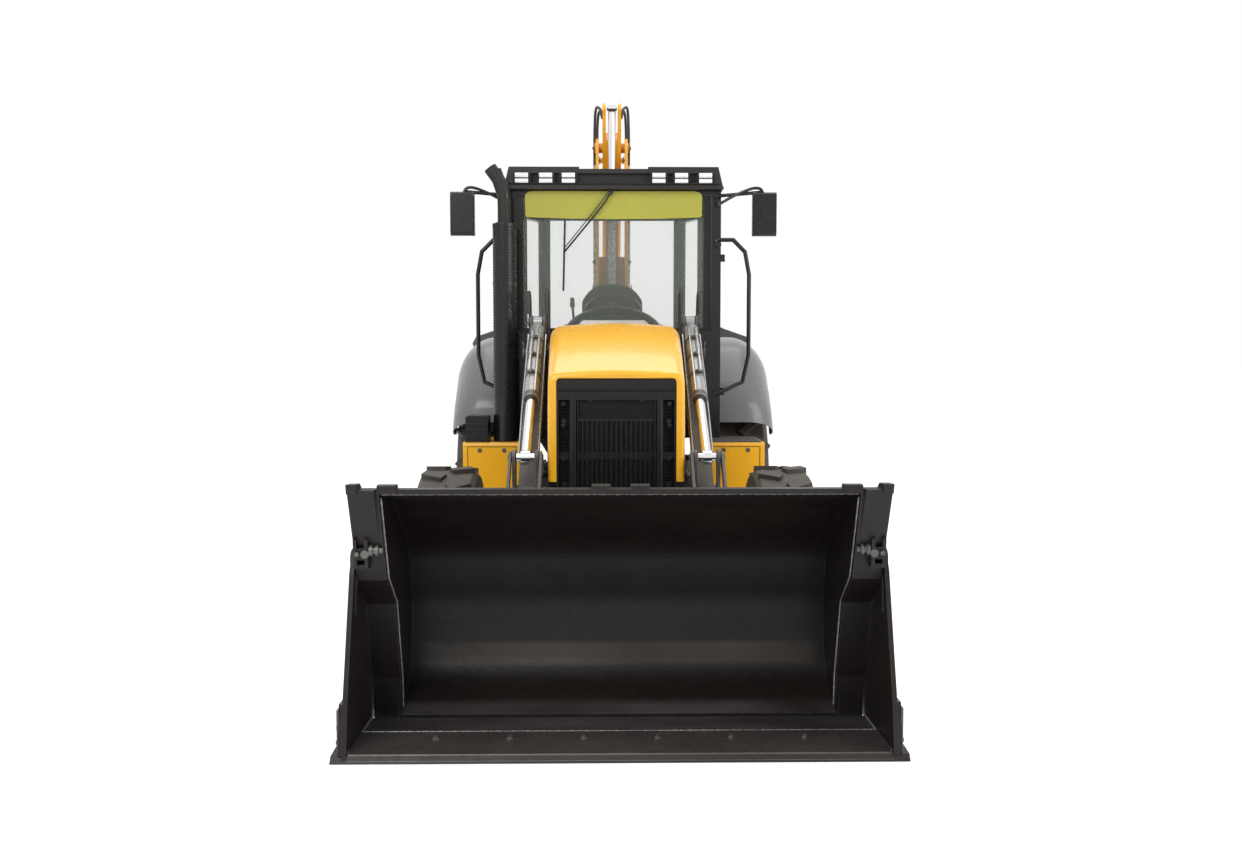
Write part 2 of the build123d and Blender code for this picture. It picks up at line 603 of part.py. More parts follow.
with BuildPart() as handrails:
    for sign in (1, -1):
        rail = [(694, 2410), (800, 2410), (880, 2330), (908, 2180), (908, 1640), (870, 1460), (694, 1380)]
        for start, end in zip(rail, rail[1:]):
            bar((sign * start[0], cab_front - 20, start[1]), (sign * end[0], cab_front - 20, end[1]), 14)
        for corner in rail[1:-1]:
            with Locations((sign * corner[0], front_axle_y + cab_front - 20, corner[1])):
                Sphere(14)
        bar((sign * 700, cab_front - 14, 2380), (sign * 700, cab_front, 2380), 22)
        bar((sign * 700, cab_front - 14, 1390), (sign * 700, cab_front, 1390), 22)
        bar((sign * 690, cab_front - 20, 2700), (sign * 980, cab_front - 60, 2720), 12)
        bar((sign * 690, cab_front - 24, 2700), (sign * 690, cab_front, 2700), 16)
        slab([(cab_front - 90, 2430, 30), (cab_front - 90, 2720, 30), (cab_front - 50, 2720), (cab_front - 50, 2430)],
             sign * 920, sign * 1080)
finish(handrails, "handrails_mirrors")

with BuildPart() as work_lamps:
    for x in (-610, -450, -300, 300, 450, 610):
        block((x - 60, x + 60), (cab_front - 60, cab_front - 9), (cab_eaves + 42, cab_eaves + 100))
        block((x - 54, x + 54), (cab_front - 61, cab_front - 52), (cab_eaves + 48, cab_eaves + 94), mode=Mode.SUBTRACT)
        for side in (-27, 27):
            bar((x + side, cab_front - 58, cab_eaves + 71), (x + side, cab_front - 50, cab_eaves + 71), 20)
finish(work_lamps, "work_lamps")

# Doors, hinged at the front pillar, with the lower rear corner cut round the wheel arch.
door_outline = [(door_front, sill - 52), (door_front, cab_eaves - 48), (door_rear, cab_eaves - 48),
                (door_rear, 1806), (1420, 1506), (1375, sill - 52)]
door_window = [(door_front + 60, sill), (door_front + 60, cab_eaves - 108), (door_rear - 60, cab_eaves - 108),
               (door_rear - 60, 1830), (1390, 1540), (1335, sill)]
for label, sign in (("left", 1), ("right", -1)):
    with BuildPart() as door:
        slab(door_outline, sign * (cab_half - 38), sign * cab_half)
        slab(door_window, sign * (cab_half - 60), sign * (cab_half + 10), mode=Mode.SUBTRACT)
        for z in hinge_heights:
            block(sorted((sign * cab_half, sign * (hinge_x + 14))), (door_front, door_front + 50), (z - 18, z + 18))
            block(sorted((sign * (cab_half + 6), sign * (hinge_x + 14))), (hinge_b - 10, door_front), (z - 18, z + 18))
            bar((sign * hinge_x, hinge_b, z - 20), (sign * hinge_x, hinge_b, z + 20), 9 + pin_fit,
                mode=Mode.SUBTRACT)
    finish(door, f"door_{label}")

    with BuildPart() as door_glass:
        pane = [(door_front + 60.3, sill + 0.3), (door_front + 60.3, cab_eaves - 108.3),
                (door_rear - 60.3, cab_eaves - 108.3), (door_rear - 60.3, 1830.3), (1389.5, 1540.3),
                (1334.5, sill + 0.3)]
        slab(pane, sign * (cab_half - 22), sign * (cab_half - 22 + glass))
    finish(door_glass, f"door_glass_{label}")

# ==== Loader ===============================================================================
with BuildPart() as loader_arms:
    arm_outline = [(arm_pivot[0] + 85, arm_pivot[1] - 60, 60), (arm_pivot[0] + 60, arm_pivot[1] + 80, 60),
                   (tilt_base[0] + 50, tilt_base[1] + 45, 40), (tilt_base[0] - 46, tilt_base[1] + 45, 40),
                   (tilt_base[0] - 46, tilt_base[1] - 98), (-60, 1215, 300), (-440, 850, 200),
                   (bucket_pin[0] - 10, bucket_pin[1] + 70, 60), (bucket_pin[0] - 70, bucket_pin[1] - 30, 50),
                   (bucket_pin[0] + 40, bucket_pin[1] - 65, 60), (-470, 700, 150), (-300, 865, 120),
                   (-60, 990, 200), (arm_pivot[0] - 60, arm_pivot[1] - 95, 80)]
    slab(arm_outline, arm_inner, arm_outer)
    slab([(lever_pivot[0] - 45, lever_pivot[1] - 120), (lever_pivot[0] - 45, lever_pivot[1] + 40, 30),
          (lever_pivot[0] + 45, lever_pivot[1] + 40, 30), (lever_pivot[0] + 60, lever_pivot[1] - 60)],
         arm_inner, arm_outer)
    # Bracket for the lift cylinder's rod, open between its plates.
    slab([(lift_eye[0] - 120, 1060), (lift_eye[0] - 50, lift_eye[1] - 50, 40), (lift_eye[0] + 50, lift_eye[1] - 50, 40),
          (lift_eye[0] + 140, 1150)], arm_inner, arm_outer)
    cross(arm_inner + strap, arm_outer - strap, lift_eye, 160, mode=Mode.SUBTRACT)
    # Slot for the tilt cylinder's base eye.
    slab([(tilt_base[0] - 70, tilt_base[1] - 75), (tilt_base[0] - 70, tilt_base[1] + 60),
          (tilt_base[0] + 70, tilt_base[1] + 60), (tilt_base[0] + 70, tilt_base[1] - 50)],
         arm_inner + strap, arm_outer - strap, mode=Mode.SUBTRACT)
    cross(arm_inner - 8, arm_outer + 8, tilt_base, 24)
    cross(arm_inner - 22, arm_outer + 22, lever_pivot, 26)
    cross(arm_inner, arm_outer, bucket_pin, 30 + pin_fit, mode=Mode.SUBTRACT)
    cross(arm_inner, arm_outer, arm_pivot, 38 + pin_fit, mode=Mode.SUBTRACT)
    # Half of the tube that joins the two arms.
    cross(0, arm_inner + 10, (-740, 522), 46)
    mirrored()
finish(loader_arms, "loader_arms")

with BuildPart() as lift_barrels:
    barrel(arm_mid, lift_base, lift_eye, 940, 44, 28, 36, 28)
    mirrored()
finish(lift_barrels, "lift_barrels")

with BuildPart() as lift_rods:
    rod(arm_mid, lift_base, lift_eye, 918, 28, 42, 22, (arm_outer - arm_inner) / 2 - strap - 3)
    mirrored()
finish(lift_rods, "lift_rods")

with BuildPart() as tilt_barrels:
    barrel(arm_mid, tilt_base, lever_eye, 900, 42, 26, 28, 24)
    mirrored()
finish(tilt_barrels, "tilt_barrels")

with BuildPart() as tilt_rods:
    rod(arm_mid, tilt_base, lever_eye, 920, 26, 40, 24, (arm_outer - arm_inner) / 2)
    mirrored()
finish(tilt_rods, "tilt_rods")

# Levers and links on both sides of each arm: (inner face, outer face) of each layer.
lever_layers = ((arm_inner - moving_gap - strap, arm_inner - moving_gap),
                (arm_outer + moving_gap, arm_outer + moving_gap + strap))
link_layers = ((lever_layers[0][0] - moving_gap - strap + 2, lever_layers[0][0] - moving_gap),
               (lever_layers[1][1] + moving_gap, lever_layers[1][1] + moving_gap + strap - 2))


def strap_outline(start, end, half):
    """A straight strap round two pins, with square-rounded ends."""
    angle = atan2(end[1] - start[1], end[0] - start[0])
    u = (cos(angle) * half, sin(angle) * half)
    n = (-u[1], u[0])
    corners = [(start[0] - u[0] - n[0], start[1] - u[1] - n[1]), (end[0] + u[0] - n[0], end[1] + u[1] - n[1]),
               (end[0] + u[0] + n[0], end[1] + u[1] + n[1]), (start[0] - u[0] + n[0], start[1] - u[1] + n[1])]
    return [(*corner, half * 0.9) for corner in corners]


with BuildPart() as tilt_levers:
    for inner, outer in lever_layers:
        slab(strap_outline(lever_pivot, lever_eye, 44), inner, outer)
        cross(inner, outer, lever_pivot, 26 + pin_fit, mode=Mode.SUBTRACT)
    for (inner, outer), (link_inner, link_outer) in zip(lever_layers, link_layers):
        low, high = min(inner, link_inner - 6), max(outer, link_outer + 6)
        low = inner if inner > arm_mid else low
        high = outer if inner < arm_mid else high
        cross(low, high, lever_eye, 20)
    mirrored()
finish(tilt_levers, "tilt_levers")

with BuildPart() as tilt_links:
    for inner, outer in link_layers:
        slab(strap_outline(lever_eye, bucket_top_pin, 34), inner, outer)
        for place in (lever_eye, bucket_top_pin):
            cross(inner, outer, place, 20 + pin_fit, mode=Mode.SUBTRACT)
    mirrored()
finish(tilt_links, "tilt_links")

# ---- Four-in-one bucket -------------------------------------------------------------------
mould_back = lip + 880
with BuildPart() as bucket_shell:
    mould = [(lip + 110, bucket_height), (lip + 480, 1008, 200), (lip + 815, 772, 200), (mould_back + 20, 440, 300),
             (lip + 815, 118, 200), (lip + 560, 6), (lip + 560, 26), (lip + 800, 138, 200), (mould_back, 440, 300),
             (lip + 800, 758, 200), (lip + 472, 990, 200), (lip + 112, bucket_height - 20)]
    slab(mould, 0, shell_outer - shell_plate)
    cheek = [(lip + 70, bucket_height), (lip + 480, 1008, 200), (lip + 815, 772, 200), (mould_back + 20, 440, 300),
             (lip + 815, 118, 200), (lip + 560, 6), (lip + 540, 200), (lip + 430, 560), (lip + 250, 700), (lip + 180, 860)]
    slab(cheek, shell_outer - shell_plate, shell_outer)
    pocket = [(lip + 95, bucket_height - 8), (lip + 476, 999, 200), (lip + 808, 765, 200), (mould_back + 10, 440, 300),
              (lip + 808, 128, 200), (lip + 562, 16), (lip + 540, 200), (lip + 430, 560), (lip + 250, 700), (lip + 180, 860)]
    slab(pocket, pocket_inner - shell_plate, pocket_inner)
    block((pocket_inner - 5, shell_outer - 5), (lip + 110, lip + 250), (bucket_height - 50, bucket_height - 20))
    cross(pocket_inner - 5, shell_outer - 5, jaw_base, 14)
    # Lugs for the arm and the tilt link.
    for inner, outer in lever_layers:
        slab([(mould_back - 10, 120), (bucket_pin[0] + 40, bucket_pin[1] - 60, 50), (bucket_pin[0] + 62, bucket_pin[1] + 20, 40),
              (bucket_top_pin[0] + 44, bucket_top_pin[1] + 40, 40), (bucket_top_pin[0] - 20, bucket_top_pin[1] + 60, 40),
              (mould_back + 5, 640)], inner, outer)
        cross(inner, outer, bucket_top_pin, 20)
    cross(lever_layers[0][0], lever_layers[1][1], bucket_pin, 30)
    for (inner, outer), (link_inner, link_outer) in zip(lever_layers, link_layers):
        low = inner if inner > arm_mid else link_inner - 6
        high = outer if inner < arm_mid else link_outer + 6
        cross(low, high, bucket_top_pin, 20)
    # Strips that close the front of each pocket, ribs on the back and fittings on the top edge.
    slab([(lip + 70, bucket_height), (lip + 180, 860), (lip + 250, 700), (lip + 430, 560), (lip + 540, 200), (lip + 560, 10),
          (lip + 576, 10), (lip + 556, 203), (lip + 444, 569), (lip + 262, 710), (lip + 195, 866), (lip + 88, bucket_height)],
         pocket_inner - 5, shell_outer - 5)
    for x in (60, 260, 720, 930):
        slab([(mould_back - 30, 150), (mould_back + 52, 260, 40), (mould_back + 52, 600, 40), (mould_back - 60, 760),
              (mould_back - 60, 740), (mould_back, 600), (mould_back, 260)], x, x + 14)
    slab([(lip + 112, bucket_height - 22), (lip + 112, bucket_height), (lip + 170, bucket_height), (lip + 230, 1082),
          (lip + 230, 1062)], 0, shell_outer - shell_plate)
    for x in (80, 950):
        slab([(lip + 96, 1084), (lip + 96, 1118, 8), (lip + 150, 1118, 8), (lip + 170, 1084)], x - 38, x + 38)
    slab([(lip + 62, 1085), (lip + 50, 1126), (lip + 140, 1122), (lip + 200, 1085)], shell_outer - 40, shell_outer)
    # Bearing hole for the jaw's hub.
    cross(shell_outer - shell_plate - 1, shell_outer + 1, jaw_hinge, 42 + pin_fit, mode=Mode.SUBTRACT)
    mirrored()
finish(bucket_shell, "bucket_shell")

jaw_lever_eye = (jaw_hinge[0] + jaw_lever * cos(radians(jaw_lever_angle)),
                 jaw_hinge[1] + jaw_lever * sin(radians(jaw_lever_angle)))
with BuildPart() as bucket_jaw:
    floor_line = [(lip, 0), (lip + 535, 0), (lip + 535, 18), (lip + 200, 26), (lip + 150, 34), (lip + 20, 26)]
    slab(floor_line, 0, jaw_outer)
    slab([(lip, 0), (lip + 150, 0), (lip + 150, 34), (lip + 20, 26)], 0, lip_half)
    jaw_side = [(lip + 8, 10), (lip + 50, 230), (lip + 215, 740, 60), (lip + 290, 850, 50), (lip + 380, 800, 50),
                (lip + 480, 560, 60), (lip + 590, 240, 60), (lip + 535, 10)]
    slab(jaw_side, jaw_outer - jaw_plate, jaw_outer)
    slab([(lip + 12, 30), (lip + 52, 230), (lip + 150, 230), (lip + 110, 30)], jaw_outer, jaw_outer + 15)
    # Gusset and stop block inside the side plate, below the hinge.
    slab([(lip + 225, 560), (lip + 250, 735), (lip + 300, 735), (lip + 262, 560)], jaw_outer - jaw_plate - 4,
         jaw_outer - jaw_plate)
    hub_inner = pocket_inner + 54
    cross(hub_inner, jaw_outer + 8, jaw_hinge, 42)
    slab(strap_outline(jaw_hinge, jaw_lever_eye, 40), hub_inner, hub_inner + 14)
    mirrored()
finish(bucket_jaw, "bucket_jaw")

jaw_cylinder_x = pocket_inner + 27
with BuildPart() as jaw_barrels:
    barrel(jaw_cylinder_x, jaw_base, jaw_lever_eye, 560, 22, 13, 14, 14)
    mirrored()
finish(jaw_barrels, "jaw_barrels")

with BuildPart() as jaw_rods:
    rod(jaw_cylinder_x, jaw_base, jaw_lever_eye, 520, 13, 24, 14, 20)
    mirrored()
finish(jaw_rods, "jaw_rods")

# ==== Backhoe ==============================================================================
post_inner = boom_half + 8
post_outer = post_inner + 24
with BuildPart() as swing_post:
    for low, high in ((486, 560), (800, 874)):
        with Locations((0, front_axle_y + swing_axis, (low + high) / 2)):
            Cylinder(85, high - low)
    block((-post_outer, post_outer), (swing_axis + 20, swing_axis + 90), (486, 560))
    block((-post_outer, post_outer), (swing_axis + 20, swing_axis + 70), (800, 874))
    for sign in (1, -1):
        slab([(swing_axis + 10, 486), (swing_axis + 10, 874), (swing_axis + 100, 874), (boom_foot[0] - 20, 895, 30),
              (boom_foot[0] + 75, 860, 50), (boom_base[0] + 60, 520, 50), (boom_base[0] + 20, 440, 40),
              (swing_axis + 150, 440), (swing_axis + 90, 486)],
             sign * post_inner, sign * post_outer)
        cross(sign * (boom_half - boom_plate), sign * (post_outer + 12), boom_foot, 36)
    cross(-post_outer - 10, post_outer + 10, boom_base, 30)
    for low, high in ((480, 570), (790, 880)):
        with Locations((0, front_axle_y + swing_axis, (low + high) / 2)):
            Cylinder(40 + pin_fit, high - low, mode=Mode.SUBTRACT)
finish(swing_post, "swing_post")

with BuildPart() as boom:
    boom_outline = [(boom_foot[0] + 60, boom_foot[1] - 70, 60), (boom_foot[0] + 70, boom_foot[1] + 60, 60),
                    (3240, 1480, 300), (3060, 2050, 300), (2960, 2700, 300), (2975, 3330, 90), (2880, 3440, 90),
                    (2770, 3330, 80), (2700, 2800, 200), (2750, 2050, 300), (2950, 1430, 300), (3362, 960),
                    (boom_foot[0] - 85, boom_foot[1] + 20, 40), (boom_foot[0] - 50, boom_foot[1] - 75, 50)]
    for sign in (1, -1):
        slab(boom_outline, sign * (boom_half - boom_plate), sign * boom_half)
    # The web: along the front of the lower boom, across, and along the rear of the upper boom.
    web = [(3180, 1060), (2975, 1400), (2860, 1700), (2990, 1960), (3030, 2100), (2975, 2450), (2955, 2450),
           (3005, 2100), (2965, 1980), (2832, 1705), (2950, 1390), (3160, 1048)]
    slab(web, -boom_half + boom_plate - 3, boom_half - boom_plate + 3)
    cross(-boom_half + boom_plate, boom_half - boom_plate, boom_eye, 192, mode=Mode.SUBTRACT)
    for place, radius in ((boom_foot, 36), (dipper_pivot, 40)):
        cross(-boom_half - 1, boom_half + 1, place, radius + pin_fit, mode=Mode.SUBTRACT)
    cross(-boom_half - 14, boom_half + 14, dipper_base, 26)
    for sign in (1, -1):
        cross(sign * boom_half, sign * (boom_half + 14), boom_eye, 40)
finish(boom, "boom")

with BuildPart() as boom_barrel:
    barrel(0, boom_base, boom_eye, 770, 52, 32, 50, 30)
finish(boom_barrel, "boom_barrel")

with BuildPart() as boom_rod:
    rod(0, boom_base, boom_eye, 700, 32, 50, 34, boom_half - boom_plate - 4)
finish(boom_rod, "boom_rod")

with BuildPart() as dipper:
    dipper_outline = [(dipper_horn[0] - 50, dipper_horn[1] - 5, 40), (dipper_horn[0] + 15, dipper_horn[1] + 55, 40),
                      (2900, 3440, 100), (hoe_base[0] + 45, hoe_base[1] + 45, 45), (hoe_base[0] + 10, hoe_base[1] - 130, 60),
                      (3100, 2960, 100), (hoe_lever_pivot[0] + 62, hoe_lever_pivot[1] + 40, 100),
                      (hoe_pin[0] + 70, hoe_pin[1] - 10, 50), (hoe_pin[0], hoe_pin[1] - 70, 50),
                      (hoe_pin[0] - 68, hoe_pin[1] + 10, 50), (hoe_lever_pivot[0] - 75, hoe_lever_pivot[1] - 30, 100),
                      (2920, 2900, 200), (2775, 3270, 80),
                      (dipper_horn[0] - 5, dipper_horn[1] - 60, 40)]
    slab(dipper_outline, -dipper_half, dipper_half)
    # Fork for the dipper cylinder's rod and fork for the bucket cylinder's base.
    cross(-48, 48, dipper_horn, 255, mode=Mode.SUBTRACT)
    cross(-dipper_half + 22, dipper_half - 22, hoe_base, 75, mode=Mode.SUBTRACT)
    bar((0, *hoe_base), (0, *along(hoe_base, hoe_knuckle, 420)), 55, mode=Mode.SUBTRACT)
    cross(-dipper_half - 20, dipper_half + 20, hoe_base, 24)
    cross(-boom_half - 12, boom_half + 12, dipper_pivot, 40)
    cross(-dipper_half - 1, dipper_half + 1, hoe_pin, 32 + pin_fit, mode=Mode.SUBTRACT)
    cross(-dipper_half - 30, dipper_half + 30, hoe_lever_pivot, 26)
finish(dipper, "dipper")

with BuildPart() as dipper_barrel:
    barrel(0, dipper_base, dipper_horn, 840, 50, 30, 46, 26)
finish(dipper_barrel, "dipper_barrel")

with BuildPart() as dipper_rod:
    rod(0, dipper_base, dipper_horn, 780, 30, 46, 30, 41)
finish(dipper_rod, "dipper_rod")

with BuildPart() as hoe_barrel:
    barrel(0, hoe_base, hoe_knuckle, 900, 42, 26, 40, 24)
finish(hoe_barrel, "hoe_barrel")

with BuildPart() as hoe_rod:
    rod(0, hoe_base, hoe_knuckle, 700, 26, 42, 22, 27)
finish(hoe_rod, "hoe_rod")

hoe_lever_inner = dipper_half + 7
with BuildPart() as hoe_lever:
    for sign in (1, -1):
        slab(strap_outline(hoe_lever_pivot, hoe_knuckle, 40), sign * hoe_lever_inner, sign * (hoe_lever_inner + 18))
        cross(sign * hoe_lever_inner, sign * (hoe_lever_inner + 18), hoe_lever_pivot, 26 + pin_fit, mode=Mode.SUBTRACT)
        cross(sign * 31, sign * (hoe_lever_inner + 18), hoe_knuckle, 22)
finish(hoe_lever, "hoe_lever")

with BuildPart() as hoe_link:
    for sign in (1, -1):
        slab(strap_outline(hoe_knuckle, hoe_ear_pin, 36), sign * 38, sign * 60)
        cross(sign * 36, sign * 62, hoe_knuckle, 22 + pin_fit, mode=Mode.SUBTRACT)
        cross(sign * 60, sign * 78, hoe_ear_pin, 24)
finish(hoe_link, "hoe_link")

with BuildPart() as hoe_bucket:
    skin = [(3470, 1775), (3760, 1540, 60), (3858, 1440, 100), (3850, 1270, 110), (3740, 1215, 80),
            (3628, 1226), (3628, 1246), (3736, 1236, 60), (3832, 1282, 90), (3838, 1434, 80),
            (3748, 1524, 40), (3461, 1757)]
    slab(skin, -hoe_bucket_half, hoe_bucket_half)
    cheek = [(3470, 1775), (3760, 1540, 60), (3858, 1440, 100), (3850, 1270, 110), (3740, 1215, 80),
             (3628, 1226), (3590, 1380)]
    for sign in (1, -1):
        slab(cheek, sign * (hoe_bucket_half - 14), sign * hoe_bucket_half)
        slab([(3480, 1760), (3475, 1830, 60), (3530, 1902, 60), (3610, 1860, 60), (hoe_ear_pin[0] + 30, 1762, 30),
              (hoe_ear_pin[0] + 42, 1700, 30), (3700, 1585)],
             sign * (dipper_half + 12), sign * (dipper_half + 30))
    for x in (-230, -85, 85, 230):
        slab([(3655, 1220), (3655, 1250), (3596, 1231), (3596, 1223)], x - 22, x + 22)
    cross(-dipper_half - 44, dipper_half + 44, hoe_pin, 32)
finish(hoe_bucket, "hoe_bucket")

# ==== Stabilisers ==========================================================================
leg_angle = atan2(leg_foot[1] - leg_pivot[1], leg_foot[0] - leg_pivot[0])
for label, sign in (("left", 1), ("right", -1)):
    with BuildPart() as leg:
        for low, high in ((leg_front, leg_front + 15), (leg_rear - 15, leg_rear)):
            with BuildSketch(Plane(origin=(0, front_axle_y + low, 0), x_dir=(1, 0, 0), z_dir=(0, -1, 0))) as leg_side:
                with BuildLine():
                    Polyline(*[(sign * x, z) for x, z in ((350, 730), (440, 685), (500, 760), (1075, 1715), (1010, 1790),
                                                       (930, 1760), (560, 1120), (470, 1040), (380, 860))], close=True)
                make_face()
            extrude(leg_side.sketch, amount=-(high - low))
        with BuildSketch(Plane(origin=(0, front_axle_y + leg_front, 0), x_dir=(1, 0, 0), z_dir=(0, -1, 0))) as web_side:
            with BuildLine():
                Polyline(*[(sign * x, z) for x, z in ((700, 1160), (1030, 1700), (975, 1740), (640, 1200))], close=True)
            make_face()
        extrude(web_side.sketch, amount=-(leg_rear - leg_front))
        with BuildSketch(Plane(origin=(0, front_axle_y + leg_front - 10, 0), x_dir=(1, 0, 0), z_dir=(0, -1, 0))) as pad_side:
            with BuildLine():
                Polyline(*[(sign * x, z) for x, z in ((860, 1800), (1140, 1700), (1150, 1735), (1120, 1790), (900, 1865), (870, 1840))], close=True)
            make_face()
        extrude(pad_side.sketch, amount=-150)
        for x, z in ((905, 1852), (960, 1831), (1015, 1810), (1070, 1789)):
            bar((sign * x, leg_front + 2, z), (sign * x, leg_front + 128, z), 16)
        bar((sign * leg_pivot[0], leg_front - 5, leg_pivot[1]), (sign * leg_pivot[0], leg_rear + 5, leg_pivot[1]),
            30 + pin_fit, mode=Mode.SUBTRACT)
    finish(leg, f"stabiliser_{label}")

    leg_mid = (leg_front + leg_rear) / 2
    base = (sign * leg_cylinder_base[0], leg_cylinder_base[1])
    eye = (sign * leg_cylinder_eye[0], leg_cylinder_eye[1])
    with BuildPart() as leg_barrel:
        start = along(base, eye, 20)
        end = along(base, eye, 460)
        bar((start[0], leg_mid, start[1]), (end[0], leg_mid, end[1]), 24)
        bar((base[0], leg_mid - 24, base[1]), (base[0], leg_mid + 24, base[1]), 32)
        bar((base[0], leg_mid - 30, base[1]), (base[0], leg_mid + 30, base[1]), 20 + pin_fit, mode=Mode.SUBTRACT)
        foot = along(base, eye, 40)
        bar((foot[0], leg_mid, foot[1]), (end[0], leg_mid, end[1]), 15 + pin_fit, mode=Mode.SUBTRACT)
    finish(leg_barrel, f"stabiliser_barrel_{label}")

    with BuildPart() as leg_rod:
        inner = along(eye, base, 456)
        bar((inner[0], leg_mid, inner[1]), (eye[0], leg_mid, eye[1]), 15)
        bar((eye[0], leg_mid - 20, eye[1]), (eye[0], leg_mid + 20, eye[1]), 30)
        bar((eye[0], leg_mid - 25, eye[1]), (eye[0], leg_mid + 25, eye[1]), 18)
    finish(leg_rod, f"stabiliser_rod_{label}")
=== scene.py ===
# %% [markdown]
# # Dressing a backhoe loader
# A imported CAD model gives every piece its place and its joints. This lesson adds what makes it look
# real: paint with dust and scuffs, tread on the tyres, hoses, bolts, glass and soft studio light.
# Each step is a short cell. Names are those of the machine's own pieces.

# %% Load the frame
import math
import bmesh
import bpy
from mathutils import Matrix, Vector


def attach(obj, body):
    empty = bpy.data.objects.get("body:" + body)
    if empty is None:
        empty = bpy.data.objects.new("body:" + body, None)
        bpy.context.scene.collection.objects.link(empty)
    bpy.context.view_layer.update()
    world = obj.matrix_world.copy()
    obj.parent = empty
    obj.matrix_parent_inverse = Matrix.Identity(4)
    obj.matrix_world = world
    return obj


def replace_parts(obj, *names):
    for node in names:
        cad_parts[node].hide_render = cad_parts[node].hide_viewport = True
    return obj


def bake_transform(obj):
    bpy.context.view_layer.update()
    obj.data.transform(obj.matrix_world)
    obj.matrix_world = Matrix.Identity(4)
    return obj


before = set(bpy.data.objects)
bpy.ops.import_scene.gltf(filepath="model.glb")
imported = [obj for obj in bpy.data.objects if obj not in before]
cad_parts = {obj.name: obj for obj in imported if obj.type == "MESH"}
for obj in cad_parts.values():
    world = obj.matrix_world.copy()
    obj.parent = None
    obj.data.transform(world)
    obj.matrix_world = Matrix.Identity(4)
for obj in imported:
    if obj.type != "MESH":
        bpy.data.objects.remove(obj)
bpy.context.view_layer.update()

# %% [markdown]
# ## Places
# Side views read best as (distance behind the front axle, height), in millimetres. One function
# turns such a place into the frame's metres, so every later cell can use round numbers. Places that
# several cells share have names.

# %% Places in millimetres
FRONT_AXLE_Y = -0.881
SIDES = (("left", 1), ("right", -1))

# Half widths, heights and distances behind the front axle.
ARM_MID = 490
CAB_FRONT, CAB_HALF, CAB_REAR, EAVES = 1130, 720, 2587, 2740
# Pins, each as (behind, height).
TILT_BASE, TILT_EYE, ARM_PIVOT, LIFT_BASE = (797, 1850), (-453, 1090), (857, 1650), (1040, 900)
BOOM_FOOT, BOOM_BASE, BOOM_EYE = (3467, 800), (3587, 496), (3037, 1790)
DIPPER_BASE, DIPPER_PIVOT, DIPPER_HORN = (2842, 2060), (2862, 3320), (2692, 3610)
HOE_BASE, HOE_LEVER, HOE_KNUCKLE, HOE_PIN = (3097, 3261), (3467, 2064), (3641, 1983), (3545, 1830)


def at(x, behind, height):
    """A point in the frame's metres from millimetres across, behind the front axle and up."""
    return Vector((x / 1000, behind / 1000 + FRONT_AXLE_Y, height / 1000))


def span(side, inner, outer):
    """A (low, high) pair of x values on the left (side 1) or on the right (side -1)."""
    return tuple(sorted((side * inner, side * outer)))


print("bucket pin at", tuple(round(v, 3) for v in at(0, -1100, 280)))

# %% [markdown]
# ## A collector for one piece
# A real part is often many small solids of one material: a row of bolts, a bundle of pipes.
# `Piece` gathers them as plain vertices and faces and makes one object that rides on one body.

# %% The piece collector
CORNER_SHARE = 0.45  # how much of each leg a rounded corner takes


